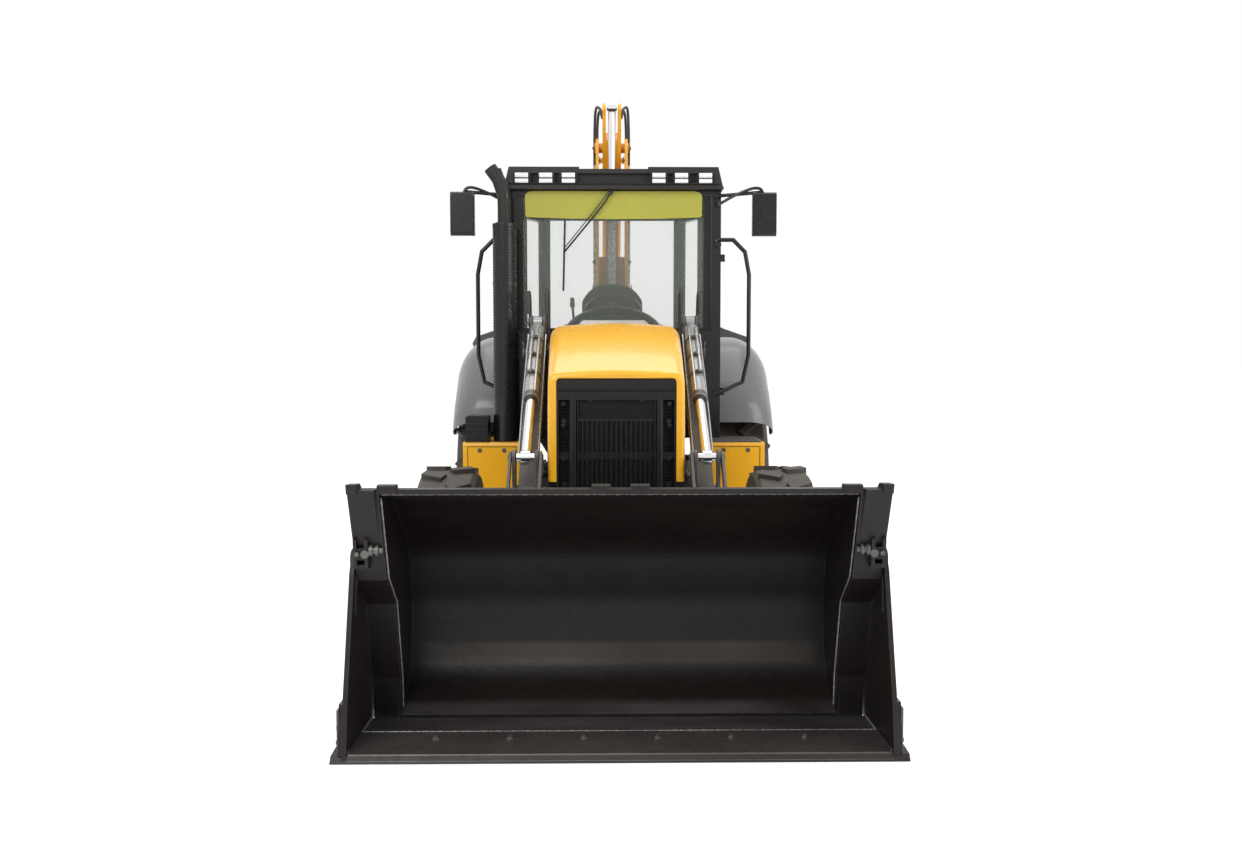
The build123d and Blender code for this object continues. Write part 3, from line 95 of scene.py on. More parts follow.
class Piece:
    def __init__(self, name, body, material):
        self.name, self.body, self.material = name, body, material
        self.points, self.faces = [], []

    def add(self, points, faces):
        first = len(self.points)
        self.points += [Vector(p) for p in points]
        self.faces += [[first + i for i in face] for face in faces]

    def box(self, x, behind, height):
        """A block between (low, high) pairs, in millimetres."""
        corners = [at(x[i], behind[j], height[k]) for i in (0, 1) for j in (0, 1) for k in (0, 1)]
        self.add(corners, [(0, 1, 3, 2), (4, 6, 7, 5), (0, 4, 5, 1),
                           (2, 3, 7, 6), (0, 2, 6, 4), (1, 5, 7, 3)])

    def both(self, x, behind, height):
        """The same block on the left and on the right."""
        self.box(x, behind, height)
        self.box((-x[1], -x[0]), behind, height)

    def loft(self, rows, closed=True):
        """A skin over rows of points. Closed makes each row a loop and caps both ends."""
        count, last = len(rows[0]), len(rows) - 1
        walls = [(r * count + i, r * count + (i + 1) % count,
                  (r + 1) * count + (i + 1) % count, (r + 1) * count + i)
                 for r in range(last) for i in range(count if closed else count - 1)]
        caps = [tuple(range(count - 1, -1, -1)), tuple(range(last * count, (last + 1) * count))]
        self.add([p for row in rows for p in row], walls + (caps if closed else []))

    def prism(self, outline, push):
        """A flat outline of points in metres, given thickness by the vector push."""
        base = [Vector(p) for p in outline]
        self.loft([base, [p + push for p in base]])

    def slab(self, outline, x):
        """A side outline of (behind, height) between two x values, in millimetres."""
        self.prism([at(x[0], b, z) for b, z in outline], Vector(((x[1] - x[0]) / 1000, 0, 0)))

    def bar(self, start, end, radius, sides=16, end_radius=None):
        """A round bar between two points in metres; radii in millimetres."""
        along = (end - start).normalized()
        side = along.orthogonal().normalized()
        up = along.cross(side)
        if end_radius is None:
            end_radius = radius
        self.loft([circle(start, side, up, radius, sides), circle(end, side, up, end_radius, sides)])

    def loop(self, corners, radius, sides=6):
        """Straight bars round a closed loop of points in metres."""
        for start, end in zip(corners, corners[1:] + corners[:1]):
            self.bar(start, end, radius, sides)

    def tube(self, path, radius, sides=10, smooth=6):
        """A bent round tube through points in metres, eased at its corners."""
        path = eased(path, smooth)
        rings, side = [], None
        for i, centre in enumerate(path):
            along = (path[min(i + 1, len(path) - 1)] - path[max(i - 1, 0)]).normalized()
            side = along.orthogonal() if side is None else side - along * side.dot(along)
            side = side.normalized()
            rings.append(circle(centre, side, along.cross(side), radius, sides))
        self.loft(rings)

    def lever(self, foot, neck, top, stem=8, knob=17, knob_end=12):
        """A control lever: a stem from foot to neck, and a knob from just below the neck to the top."""
        self.bar(foot, neck, stem, 10)
        self.bar(neck - Vector((0, 0, 0.01)), top, knob, 12, knob_end)

    def bolt(self, centre, out, radius, height):
        """A hexagon head on a washer; out is the way it stands, radius and height in millimetres."""
        out = out.normalized()
        self.bar(centre, centre + out * height * 0.0003, radius * 1.45, 14)
        self.bar(centre, centre + out * height / 1000, radius, 6, radius * 0.94)

    def ring(self, centre, axis, profile, sides=48):
        """Turns a closed profile of (along, radius) pairs in millimetres about an axis."""
        axis = axis.normalized()
        side = axis.orthogonal().normalized()
        up = axis.cross(side)
        points = [centre + axis * a / 1000 + (side * math.cos(t) + up * math.sin(t)) * r / 1000
                  for t in (math.tau * i / sides for i in range(sides)) for a, r in profile]
        n = len(profile)
        self.add(points, [(i * n + j, i * n + (j + 1) % n, ((i + 1) % sides) * n + (j + 1) % n,
                           ((i + 1) % sides) * n + j) for i in range(sides) for j in range(n)])

    def make(self, sharp=32):
        """Makes the object, with edges sharper than an angle left crisp, and lets it ride."""
        mesh = bpy.data.meshes.new(self.name)
        mesh.from_pydata(self.points, [], self.faces)
        shape = bmesh.new()
        shape.from_mesh(mesh)
        bmesh.ops.recalc_face_normals(shape, faces=shape.faces)
        for face in shape.faces:
            face.smooth = True
        for edge in shape.edges:
            edge.smooth = edge.is_manifold and edge.calc_face_angle(0) < math.radians(sharp)
        shape.to_mesh(mesh)
        shape.free()
        made = bpy.data.objects.new(self.name, mesh)
        bpy.context.scene.collection.objects.link(made)
        mesh.materials.append(self.material["material"])
        if self.body:
            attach(made, self.body)
        return made


def circle(centre, side, up, radius, sides):
    """Points round a centre, in the plane of two unit vectors; radius in millimetres."""
    return [centre + (side * math.cos(a) + up * math.sin(a)) * radius / 1000
            for a in (math.tau * i / sides for i in range(sides))]


def eased(path, steps):
    """Rounds the corners of a path of points with short curves."""
    path = [Vector(p) for p in path]
    if steps < 2 or len(path) < 3:
        return path
    out = [path[0]]
    for before, corner, after in zip(path, path[1:], path[2:]):
        a = corner + (before - corner) * CORNER_SHARE
        b = corner + (after - corner) * CORNER_SHARE
        for i in range(steps + 1):
            t = i / steps
            out.append(a * (1 - t) ** 2 + corner * 2 * t * (1 - t) + b * t ** 2)
    return out + [path[-1]]


print("collector ready")

# %% [markdown]
# ## Materials
# Every surface is procedural. A base colour is varied by broad noise, dulled by fine noise, dusted where faces look
# up, and rubbed through at sharp edges. The edge mask compares the face's own normal with a rounded one: they differ
# only at edges.

# %% A worn surface
DUST_COLOUR = (0.30, 0.26, 0.21)


def node(tree, kind, **inputs):
    made = tree.nodes.new(kind)
    for name, value in inputs.items():
        made.inputs[name.replace("_", " ")].default_value = value
    return made


def noise(tree, place, scale, detail, **inputs):
    """Noise; laid out by a place where one is given."""
    made = node(tree, "ShaderNodeTexNoise", Scale=scale, Detail=detail, **inputs)
    if place:
        tree.links.new(place, made.inputs["Vector"])
    return made.outputs["Fac"]


def remap(tree, value, low, high, to_low=0.0, to_high=1.0):
    """Carries a value from one range to another."""
    made = node(tree, "ShaderNodeMapRange", From_Min=low, From_Max=high, To_Min=to_low, To_Max=to_high)
    tree.links.new(value, made.inputs["Value"])
    return made.outputs["Result"]


def combine(tree, operation, first, second, clamp=False):
    """One sum of two values; the second may be a plain number."""
    made = node(tree, "ShaderNodeMath")
    made.operation, made.use_clamp = operation, clamp
    tree.links.new(first, made.inputs[0])
    if isinstance(second, float):
        made.inputs[1].default_value = second
    else:
        tree.links.new(second, made.inputs[1])
    return made.outputs["Value"]


def paint_over(tree, share, before, colour):
    """A colour laid over what is there, by a share."""
    made = node(tree, "ShaderNodeMixRGB", Color2=(*colour, 1.0))
    tree.links.new(share, made.inputs["Fac"])
    tree.links.new(before, made.inputs["Color1"])
    return made.outputs["Color"]


def face_normal(tree):
    return tree.nodes.new("ShaderNodeNewGeometry").outputs["Normal"]


def parts_of(tree, vector):
    """The X, Y and Z of a vector."""
    made = tree.nodes.new("ShaderNodeSeparateXYZ")
    tree.links.new(vector, made.inputs["Vector"])
    return made.outputs


def own_place(tree, kind="Object"):
    return tree.nodes.new("ShaderNodeTexCoord").outputs[kind]


def surface(name, slot, colour, roughness, metallic=0.0, mottle=0.12, dust=0.0, edge=None, edge_amount=0.0,
            round_mm=0.0, bump_mm=0.0, bump_scale=120.0, coat=0.0, roughness_spread=0.12, gloss=0.5):
    """A procedural finish. Sizes are in millimetres, shares from 0 to 1, edge is the rubbed colour."""
    material = bpy.data.materials.new(name)
    material.use_nodes = True
    tree = material.node_tree
    shader = tree.nodes["Principled BSDF"]
    for socket, value in (("Metallic", metallic), ("Coat Weight", coat), ("Coat Roughness", 0.06),
                          ("Specular IOR Level", gloss)):
        shader.inputs[socket].default_value = value
    place = own_place(tree)
    broad = noise(tree, place, 2.3, 7.0, Roughness=0.62)
    fine = noise(tree, place, 46.0, 5.0, Roughness=0.6)

    tint = node(tree, "ShaderNodeHueSaturation", Color=(*colour, 1.0))
    tree.links.new(remap(tree, broad, 0.3, 0.7, 1.0 - mottle, 1.0 + mottle), tint.inputs["Value"])
    result = tint.outputs["Color"]
    rough = remap(tree, fine, 0.3, 0.7, max(roughness - roughness_spread, 0.02),
                  min(roughness + roughness_spread, 1.0))
    if dust:
        upward = remap(tree, parts_of(tree, face_normal(tree))["Z"], -0.4, 1.0, dust * 0.25, dust)
        result = paint_over(tree, combine(tree, "MULTIPLY", upward, fine), result, DUST_COLOUR)

    normal = None
    if round_mm:
        bevel = tree.nodes.new("ShaderNodeBevel")
        bevel.samples = 4
        bevel.inputs["Radius"].default_value = round_mm / 1000
        normal = bevel.outputs["Normal"]
        if edge is not None:
            same = tree.nodes.new("ShaderNodeVectorMath")
            same.operation = "DOT_PRODUCT"
            tree.links.new(normal, same.inputs[0])
            tree.links.new(face_normal(tree), same.inputs[1])
            rubbed = remap(tree, same.outputs["Value"], 0.985, 0.82, 0.0, edge_amount * 2)
            result = paint_over(tree, combine(tree, "MULTIPLY", rubbed, fine, True), result, edge)
    if bump_mm:
        bump = node(tree, "ShaderNodeBump", Strength=0.6, Distance=bump_mm / 1000)
        tree.links.new(noise(tree, place, bump_scale, 3.0), bump.inputs["Height"])
        if normal is not None:
            tree.links.new(normal, bump.inputs["Normal"])
        normal = bump.outputs["Normal"]
    tree.links.new(result, shader.inputs["Base Color"])
    tree.links.new(rough, shader.inputs["Roughness"])
    if normal is not None:
        tree.links.new(normal, shader.inputs["Normal"])
    return {"material": material, "slot": slot}


def principled(finish):
    """The inputs of a finish's main shader."""
    return finish["material"].node_tree.nodes["Principled BSDF"].inputs


# %% The machine's finishes
bare = (0.34, 0.33, 0.32)
yellow = surface("bodywork_yellow", "yellow_paint", (0.93, 0.46, 0.012), 0.26, mottle=0.03, dust=0.10,
                 edge=(0.55, 0.30, 0.05), edge_amount=0.25, round_mm=5, bump_mm=0.05, bump_scale=260, coat=0.25,
                 roughness_spread=0.05)
boom_yellow = surface("boom_yellow", "boom_paint", (0.90, 0.41, 0.012), 0.36, mottle=0.05, dust=0.14, edge=bare,
                      edge_amount=0.5, round_mm=4, bump_mm=0.2, bump_scale=180, coat=0.2)
dark_grey = surface("frame_dark_grey", "dark_grey_paint", (0.050, 0.052, 0.055), 0.46, mottle=0.10, dust=0.30,
                    edge=bare, edge_amount=0.5, round_mm=3, bump_mm=0.25)
fender_grey = surface("fender_grey", "dark_grey_paint", (0.135, 0.135, 0.140), 0.34, mottle=0.05, dust=0.12,
                      coat=0.3)
cab_black = surface("cab_black", "black_paint", (0.008, 0.008, 0.009), 0.26, mottle=0.10, dust=0.03,
                    edge=(0.06, 0.06, 0.06), edge_amount=0.35, round_mm=4, bump_mm=0.1, coat=0.12, gloss=0.3)
bucket_black = surface("bucket_black", "black_paint", (0.0100, 0.0077, 0.0070), 0.42, mottle=0.25, dust=0.03,
                       edge=(0.09, 0.09, 0.09), edge_amount=0.45, round_mm=4, bump_mm=0.08, bump_scale=70,
                       gloss=0.26)
worn_edge = surface("worn_cutting_edge", "bright_steel", (0.074, 0.067, 0.065), 0.42, metallic=0.55, mottle=0.35,
                    dust=0.12, edge=(0.35, 0.34, 0.33), edge_amount=0.9, round_mm=3, bump_mm=0.4, bump_scale=90)
cast_grey = surface("cast_grey", "cast_grey", (0.075, 0.077, 0.08), 0.62, mottle=0.2, dust=0.4, round_mm=4,
                    bump_mm=0.7, bump_scale=160)
steel = surface("zinc_steel", "bright_steel", (0.42, 0.41, 0.39), 0.36, metallic=0.9, mottle=0.15, round_mm=1)
chrome = surface("cylinder_chrome", "chromed", (0.78, 0.78, 0.79), 0.12, metallic=1.0, mottle=0.04,
                 roughness_spread=0.05)
barrel_grey = surface("barrel_grey", "dark_grey_paint", (0.34, 0.34, 0.34), 0.30, metallic=0.45, mottle=0.10,
                      dust=0.06, edge=bare, edge_amount=0.3, round_mm=3)
rubber = surface("tyre_rubber", "tyre_rubber", (0.017, 0.0165, 0.016), 0.72, mottle=0.25, dust=0.45, round_mm=4,
                 bump_mm=0.5, bump_scale=200)
hose_rubber = surface("hose_rubber", "black_plastic", (0.014, 0.014, 0.014), 0.5, mottle=0.2, dust=0.12,
                      bump_mm=0.2, bump_scale=500)
plastic = surface("black_plastic", "black_plastic", (0.007, 0.007, 0.007), 0.34, mottle=0.1, dust=0.03,
                  gloss=0.3, round_mm=2, bump_mm=0.12, bump_scale=600)
mesh_black = surface("grille_mesh", "black_plastic", (0.010, 0.010, 0.010), 0.36, mottle=0.1, dust=0.03,
                     gloss=0.35)
fabric = surface("seat_cloth", "seat_fabric", (0.014, 0.014, 0.015), 0.85, mottle=0.2, bump_mm=0.6,
                 bump_scale=700)
steel_dark = surface("dark_steel", "bright_steel", (0.10, 0.098, 0.095), 0.42, metallic=0.6, mottle=0.25,
                     dust=0.18, round_mm=1.5)
weld_grey = surface("weld_bead", "bright_steel", (0.24, 0.235, 0.225), 0.42, metallic=0.4, mottle=0.55,
                    bump_mm=0.4, bump_scale=300)
void_black = surface("deep_shadow", "black_plastic", (0.004, 0.004, 0.004), 0.8, mottle=0.1,
                     roughness_spread=0.05)
exhaust_black = surface("exhaust_black", "black_paint", (0.010, 0.010, 0.009), 0.5, mottle=0.25, dust=0.06,
                        bump_mm=0.2, gloss=0.3)
lamp_white = surface("lamp_white", "lamp_lens", (0.92, 0.93, 0.95), 0.18, mottle=0.02, coat=0.6)
pipe_metal = surface("hydraulic_pipe", "bright_steel", (0.50, 0.50, 0.49), 0.30, metallic=0.75, mottle=0.15,
                     dust=0.04)
amber = surface("amber_plastic", "lamp_lens", (0.80, 0.24, 0.01), 0.25, mottle=0.05, coat=0.5)
red = surface("red_plastic", "lamp_lens", (0.45, 0.01, 0.008), 0.25, mottle=0.05, coat=0.5)
print("finishes:", len(bpy.data.materials))


# %% Steel rubbed by the load, and a painted reflection band
def wear_and_reflection_band(finish, colour, low, high, half, share, facing_up):
    """Lightens a finish between two heights and within half a width: as wear where soil slides over it, and as a
    painted reflection band.
    """
    tree = finish["material"].node_tree
    paint = principled(finish)["Base Color"]
    before = paint.links[0].from_socket
    place = parts_of(tree, own_place(tree))
    width = node(tree, "ShaderNodeMath")
    width.operation = "ABSOLUTE"
    tree.links.new(place["X"], width.inputs[0])
    # Each mask is a value, where it starts and where it is full; their product is the lightened area.
    masks = [(place["Z"], low - 0.012, low + 0.012), (place["Z"], high + 0.01, high - 0.01),
             (width.outputs["Value"], half + 0.03, half - 0.03)]
    if facing_up:
        masks.append((parts_of(tree, face_normal(tree))["Z"], 0.5, 0.9))
    masks.append((noise(tree, None, 3.1, 4.0), 0.22, 0.62))
    total = remap(tree, *masks[0])
    for mask in masks[1:]:
        total = combine(tree, "MULTIPLY", total, remap(tree, *mask))
    tree.links.new(paint_over(tree, combine(tree, "MULTIPLY", total, share), before, colour), paint)


# Painted reflection: a lighter band across the bucket, 0.185 to 0.285 m high, stands in for light reflected inside
# it.
wear_and_reflection_band(bucket_black, (0.085, 0.074, 0.062), 0.185, 0.285, 0.93, 0.75, False)
# Wear: the upward faces of the floor and heel, rubbed by the load.
wear_and_reflection_band(bucket_black, (0.075, 0.068, 0.066), 0.006, 0.060, 1.12, 0.80, True)
print("the bucket's floor and heel are rubbed")


# %% Glass and the sun strip
def clear(name, slot, colour, alpha, roughness):
    """A thin see-through sheet: a tinted gloss that lets most light straight through."""
    made = surface(name, slot, colour, roughness, mottle=0.04, roughness_spread=0.015)
    principled(made)["Alpha"].default_value = alpha
    return made


pane = clear("tinted_glass", "tinted_glass", (0.50, 0.58, 0.53), 0.10, 0.03)
strip = clear("sun_strip", "tinted_glass", (0.38, 0.37, 0.05), 0.96, 0.28)
mirror_glass = surface("mirror_glass", "chromed", (0.75, 0.77, 0.80), 0.04, metallic=1.0, mottle=0.02,
                       roughness_spread=0.01)
print("glass ready")

# %% [markdown]
# ## Paint the CAD pieces
# One short table says which finish each CAD piece wears.

# %% Paint the CAD pieces
PAINT = (
    (yellow, "hood side_boxes front_rim_left front_rim_right rear_rim_left rear_rim_right"),
    (boom_yellow, "boom dipper"),
    (dark_grey, "frame tie_downs loader_arms tilt_levers tilt_links swing_post hoe_lever hoe_link"
                " stabiliser_left stabiliser_right"),
    (barrel_grey, "lift_barrels tilt_barrels jaw_barrels boom_barrel dipper_barrel hoe_barrel"
                  " stabiliser_barrel_left stabiliser_barrel_right"),
    (chrome, "lift_rods tilt_rods jaw_rods boom_rod dipper_rod hoe_rod stabiliser_rod_left stabiliser_rod_right"),
    (fender_grey, "fenders"),
    (exhaust_black, "cab_roof"),
    (cab_black, "cab_frame door_left door_right handrails_mirrors exhaust rear_axle front_axle"),
    (bucket_black, "bucket_shell bucket_jaw hoe_bucket"),
    (cast_grey, "powertrain knuckle_left knuckle_right"),
    (plastic, "grille dashboard work_lamps"),
    (fabric, "seat"),
    (rubber, "front_tyre_left front_tyre_right rear_tyre_left rear_tyre_right"),
    (pane, "cab_glass door_glass_left door_glass_right"),
)
painted = 0
for finish, names in PAINT:
    for name in names.split():
        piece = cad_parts[name]
        piece.data.materials.clear()
        piece.data.materials.append(finish["material"])
        painted += 1
print("painted", painted, "of", len(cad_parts))

# %% [markdown]
# ## The bucket
# A bucket lives in gravel. It gets a bolted edge plate with wear strips at its corners, weld beads
# along its seams, a block round each hinge pin and plates that close the jaw's corners.

# %% Edge plate, bolts and wear strips
LIP, JAW_HALF = -2100, 1130

edge_plate = Piece("bucket_edge_plate", "bucket_jaw", worn_edge)
edge_plate.slab([(LIP + 6, 8), (LIP + 26, 31), (LIP + 150, 40), (LIP + 300, 33), (LIP + 300, 20), (LIP + 6, 4)],
                (-JAW_HALF + 22, JAW_HALF - 22))
edge_plate.both((JAW_HALF + 14, JAW_HALF + 22), (LIP + 36, LIP + 120), (34, 210))
edge_plate.make()

BOLT_ROW = LIP + 190
edge_bolts = Piece("bucket_edge_bolts", "bucket_jaw", steel_dark)
for x in (-775, -465, -155, 155, 465, 775):
    edge_bolts.bar(at(x, BOLT_ROW, 34), at(x, BOLT_ROW, 46), 17, 6, 15)
    edge_bolts.bar(at(x, BOLT_ROW, 44), at(x, BOLT_ROW, 54), 9, 10)
for side in (-1, 1):
    for height in (70, 130, 185):
        edge_bolts.bolt(at(side * (JAW_HALF + 21), LIP + 46 + height * 0.22, height), Vector((side, 0, 0)), 11, 9)
edge_bolts.make()
print("edge plate and", len(edge_bolts.faces), "bolt faces")

# %% Weld beads
LUMP_PITCH = 0.012


def bead(piece, path, radius):
    """A weld bead: a lumpy tube along a path of points in metres."""
    points = []
    for start, end in zip(path, path[1:]):
        count = max(2, int((end - start).length / LUMP_PITCH))
        points += [start.lerp(end, i / count) for i in range(count)]
    points.append(path[-1])
    for i, (a, b) in enumerate(zip(points, points[1:])):
        lump = radius * (1.0 + 0.22 * math.sin(i * 2.4) + 0.12 * math.sin(i * 5.1 + 1))
        piece.bar(a, b + (b - a) * 0.35, lump, 6, lump * 0.7)


shell_welds = Piece("bucket_shell_welds", "bucket_shell", weld_grey)
jaw_welds = Piece("bucket_jaw_welds", "bucket_jaw", weld_grey)
bead(jaw_welds, [at(-JAW_HALF + 30, LIP + 302, 31), at(JAW_HALF - 30, LIP + 302, 31)], 5)
for side in (-1, 1):
    bead(jaw_welds, [at(side * (JAW_HALF - 21), LIP + 40, 30), at(side * (JAW_HALF - 21), LIP + 520, 24)], 5)
    bead(jaw_welds, [at(side * (JAW_HALF + 1), LIP + 52, 232), at(side * (JAW_HALF + 1), LIP + 148, 232)], 4)
    bead(shell_welds, [at(side * 975, LIP + b, z)
                       for b, z in ((574, 60), (562, 200), (448, 566), (268, 706), (200, 866), (120, 1060))], 4)
bead(shell_welds, [at(-970, LIP + 118, 1079), at(970, LIP + 118, 1079)], 4)
shell_welds.make()
jaw_welds.make()
print("weld beads:", len(shell_welds.faces) + len(jaw_welds.faces), "faces")

# %% Hinge blocks and corner plates
CHEEK = [(LIP + 160, 770), (LIP + 150, 885), (LIP + 190, 900), (LIP + 225, 780)]
hinges = Piece("bucket_hinge_blocks", "bucket_shell", bucket_black)
hinge_pins = Piece("bucket_hinge_pins", "bucket_shell", steel_dark)
for side in (-1, 1):
    low, high = span(side, 1040, 1100)
    hinges.slab(CHEEK, (low, low + 14))
    hinges.slab(CHEEK, (high - 14, high))
    hinges.box((low, high), (LIP + 168, LIP + 215), (762, 780))
    hinges.box((low + 10, high - 10), (LIP + 165, LIP + 205), (800, 850))
    hinge_pins.bar(at(side * 1052, LIP + 166, 826), at(side * 1052, LIP + 152, 826), 17, 20)
    hinge_pins.bar(at(side * 1086, LIP + 166, 826), at(side * 1086, LIP + 152, 826), 11, 6)
    for start, radius, length in ((1036, 26, 14), (1023, 17, 12), (1010, 24, 12), (997, 14, 16)):
        hinge_pins.bar(at(side * start, LIP + 178, 838), at(side * (start - length), LIP + 178, 838), radius, 20)
    hinges.box(span(side, 984, 1040), (LIP + 196, LIP + 216), (815, 862))
hinges.make()
hinge_pins.make()

# Wear plates close the corner between the jaw's cheeks and the shell's sides.
corner_plates = Piece("jaw_corner_plates", "bucket_jaw", bucket_black)
for side in (-1, 1):
    corner_plates.slab([(LIP + 360, 6), (LIP + 360, 110), (LIP + 470, 330), (LIP + 560, 330),
                        (LIP + 645, 200), (LIP + 645, 6)], span(side, JAW_HALF - 17, JAW_HALF - 3))
corner_plates.make()
print("hinge blocks done")

# %% [markdown]
# ## Tyres and wheels
# The lugs are in the CAD. The side walls get thin raised rings, and the wheels get nuts, hub caps and
# valves.

# %% Wheel nuts, hub caps, valves and side rings
WHEELS = (
    # end, half track, behind, tyre radius, rim radius, tyre width, disc's face, nuts, hub cap's radius,
    # radius of the circle of nuts, lug height
    ("front", 955, 0, 500, 224, 340, 975, 8, 78, 128, 24),
    ("rear", 915, 2175, 710, 350, 430, 895, 10, 122, 184, 42),
)
for end, track, behind, tyre_radius, rim_radius, width, disc, nuts, hub_radius, nut_circle, lug in WHEELS:
    for label, side in SIDES:
        body = f"{end}_wheel_{label}"
        centre = at(side * track, behind, tyre_radius)
        out = Vector((side, 0, 0))
        disc_face = at(side * (disc + 14), behind, tyre_radius)
        fittings = Piece(f"{body}_nuts", body, steel_dark)
        for i in range(nuts):
            angle = math.tau * i / nuts
            spot = disc_face + Vector((0, math.cos(angle), math.sin(angle))) * nut_circle / 1000
            fittings.bar(spot - out * 0.008, spot + out * 0.004, 22, 18)
            fittings.bolt(spot + out * 0.003, out, 15, 18)
        fittings.make()
        cap = Piece(f"{body}_hub_cap", body, cast_grey)
        cap.ring(at(side * (disc + 50), behind, tyre_radius), out,
                 [(-2, 0.5), (-2, hub_radius - 6), (10, hub_radius - 8), (26, hub_radius - 26), (30, 0.5)], 32)
        cap.make()
        rings = Piece(f"{body}_side_rings", body, rubber)
        half = width / 2
        wall_middle = (rim_radius + tyre_radius - lug) / 2
        for radius, reach in ((rim_radius + 22, half * 0.86), (wall_middle - 34, half * 0.965),
                              (wall_middle + 40, half * 0.955)):
            for face in (1, -1):
                rings.ring(centre, out * face, [(reach - 3, radius - 4), (reach + 3, radius - 2),
                                                (reach + 3, radius + 2), (reach - 3, radius + 4)], 64)
        rings.make()
        valve = Piece(f"{body}_valve", body, steel_dark)
        root = at(side * (disc + 30), behind, tyre_radius)
        root += Vector((0, 0.3, 0.95)).normalized() * (rim_radius - 26) / 1000
        valve.bar(root, root + out * 0.035, 6, 10, 4)
        valve.make()
print("wheel fittings done")

# %% [markdown]
# ## Hood and grille
# The grille is a mesh behind upright ribs, between two rounded pillars. The hood gets its seams,
# latches, a dark cowl in front of the windscreen and a bare plate over it.

# %% Grille mesh, louvres and pillar bolts
FACE, GRILLE_LOW, GRILLE_TOP = -486, 850, 1404
WIRE_PITCH, WIRE_HALF, LOUVRE_PITCH = 9, 1.1, 12
mesh = Piece("grille_mesh", "chassis", mesh_black)
for i in range(46):
    x = -202.5 + i * WIRE_PITCH
    mesh.box((x - WIRE_HALF, x + WIRE_HALF), (FACE + 18, FACE + 20), (GRILLE_LOW + 2, GRILLE_TOP))
for i in range(61):
    z = GRILLE_LOW + 6 + i * WIRE_PITCH
    mesh.box((-206, 206), (FACE + 19.5, FACE + 21.5), (z - WIRE_HALF, z + WIRE_HALF))
for side in (-1, 1):
    for i in range(46):
        z = GRILLE_LOW + 12 + i * LOUVRE_PITCH
        mesh.slab([(FACE + 12, z), (FACE + 15, z + 2), (FACE + 25, z - 5), (FACE + 24, z - 7)], span(side, 262, 309))
mesh.make()

shadow = Piece("grille_shadow", "chassis", void_black)
shadow.box((-308, 308), (FACE + 24.5, FACE + 25.8), (GRILLE_LOW, GRILLE_TOP))
shadow.make()

trim = Piece("grille_trim", "chassis", plastic)
for side in (-1, 1):
    trim.box(span(side, 206, 211), (FACE - 2, FACE + 12), (GRILLE_LOW, 1440))
    for height in (905, 1085, 1265, 1380):
        trim.bolt(at(side * 285, FACE + 8, height), Vector((0, -1, 0)), 9, 8)
    trim.bar(at(side * 140, FACE + 12, GRILLE_TOP + 1), at(side * 140, FACE + 1, GRILLE_TOP + 1), 15, 20)
trim.make()
print("grille faces:", len(mesh.faces))

# %% The grille's head, above the ribs
OPENING_HALF, OPENING_TOP = 324, 1520
head = Piece("grille_head", "chassis", plastic)
head.slab([(FACE + 4, 1446), (FACE + 1, 1456), (FACE + 10, OPENING_TOP), (FACE + 28, OPENING_TOP),
           (FACE + 28, 1446)], (2 - OPENING_HALF, OPENING_HALF - 2))
head.make()

# %% [markdown]
# ## The hood's skin
# A pressed hood has no sharp edge: the top is a little crowned, the corners roll over into the sides
# and the whole skin widens towards the cab. It could be a box with rounded edges. A loft is better:
# one section is drawn again and again along the hood, each time with its own width and height.

# %% Loft of the hood
HOOD_FRONT, HOOD_REAR, NOSE = -490, 1088, 20
NOSE_HALF, FLARE, FLARE_RUN = 364, 23, 800
NOSE_TOP, CLIMB, CREST_RUN, CROWN = 1540, 276, 820, 15
HEM, STEP_START, STEP_RUN, STEP = 962, 560, 90, 458
WALL_STEPS, ARC_STEPS, TOP_STEPS, STATIONS = 10, 9, 8, 90
ARC = [math.radians(10 * i) for i in range(1, ARC_STEPS + 1)]


def hood_half(behind):
    """Half the hood's width: it widens towards the cab."""
    return NOSE_HALF + FLARE * min((behind - HOOD_FRONT) / FLARE_RUN, 1)


def hood_height(behind):
    """Height of the hood's top: it climbs from the nose and levels out at the crest."""
    share = min((behind - HOOD_FRONT) / CREST_RUN, 1)
    return NOSE_TOP + CLIMB * (1 - (1 - share) ** 1.3)


def hood_low(behind):
    """The lower edge steps up behind the loader's towers."""
    share = min(max((behind - STEP_START) / STEP_RUN, 0), 1)
    return HEM + STEP * share * share * (3 - 2 * share)


def both_halves(half_section):
    """Mirrors a half section that ends on the middle line."""
    return half_section + [(-x, z) for x, z in half_section[-2::-1]]


def hood_section(behind, inset):
    """One section from the left lower edge over the top to the right lower edge."""
    half, top, low = hood_half(behind) - inset, hood_height(behind) - inset, hood_low(behind)
    corner = 48 + 26 * min((behind - HOOD_FRONT) / CREST_RUN, 1)
    flat = half - corner
    one = [(half + 3 * math.sin(math.pi * i / WALL_STEPS), low + (top - corner - low) * i / WALL_STEPS)
           for i in range(WALL_STEPS + 1)]
    one += [(flat + corner * math.cos(a), top - corner + corner * math.sin(a)) for a in ARC]
    one += [(flat * (1 - i / TOP_STEPS), top + CROWN * (1 - (1 - i / TOP_STEPS) ** 2))
            for i in range(1, TOP_STEPS + 1)]
    return both_halves(one)


def opening_section(behind):
    """The same number of points round the grille's opening."""
    corner, low = 24, hood_low(behind)
    flat, shoulder = OPENING_HALF - corner, OPENING_TOP - corner
    one = [(OPENING_HALF, low + (shoulder - low) * i / WALL_STEPS) for i in range(WALL_STEPS + 1)]
    one += [(flat + corner * math.cos(a), shoulder + corner * math.sin(a)) for a in ARC]
    one += [(flat * (1 - i / TOP_STEPS), OPENING_TOP) for i in range(1, TOP_STEPS + 1)]
    return both_halves(one)


def as_sheet(made, thickness):
    """Gives a loft its sheet's thickness in metres, half to each side."""
    solid = made.modifiers.new("sheet", "SOLIDIFY")
    solid.thickness, solid.offset = thickness, 0


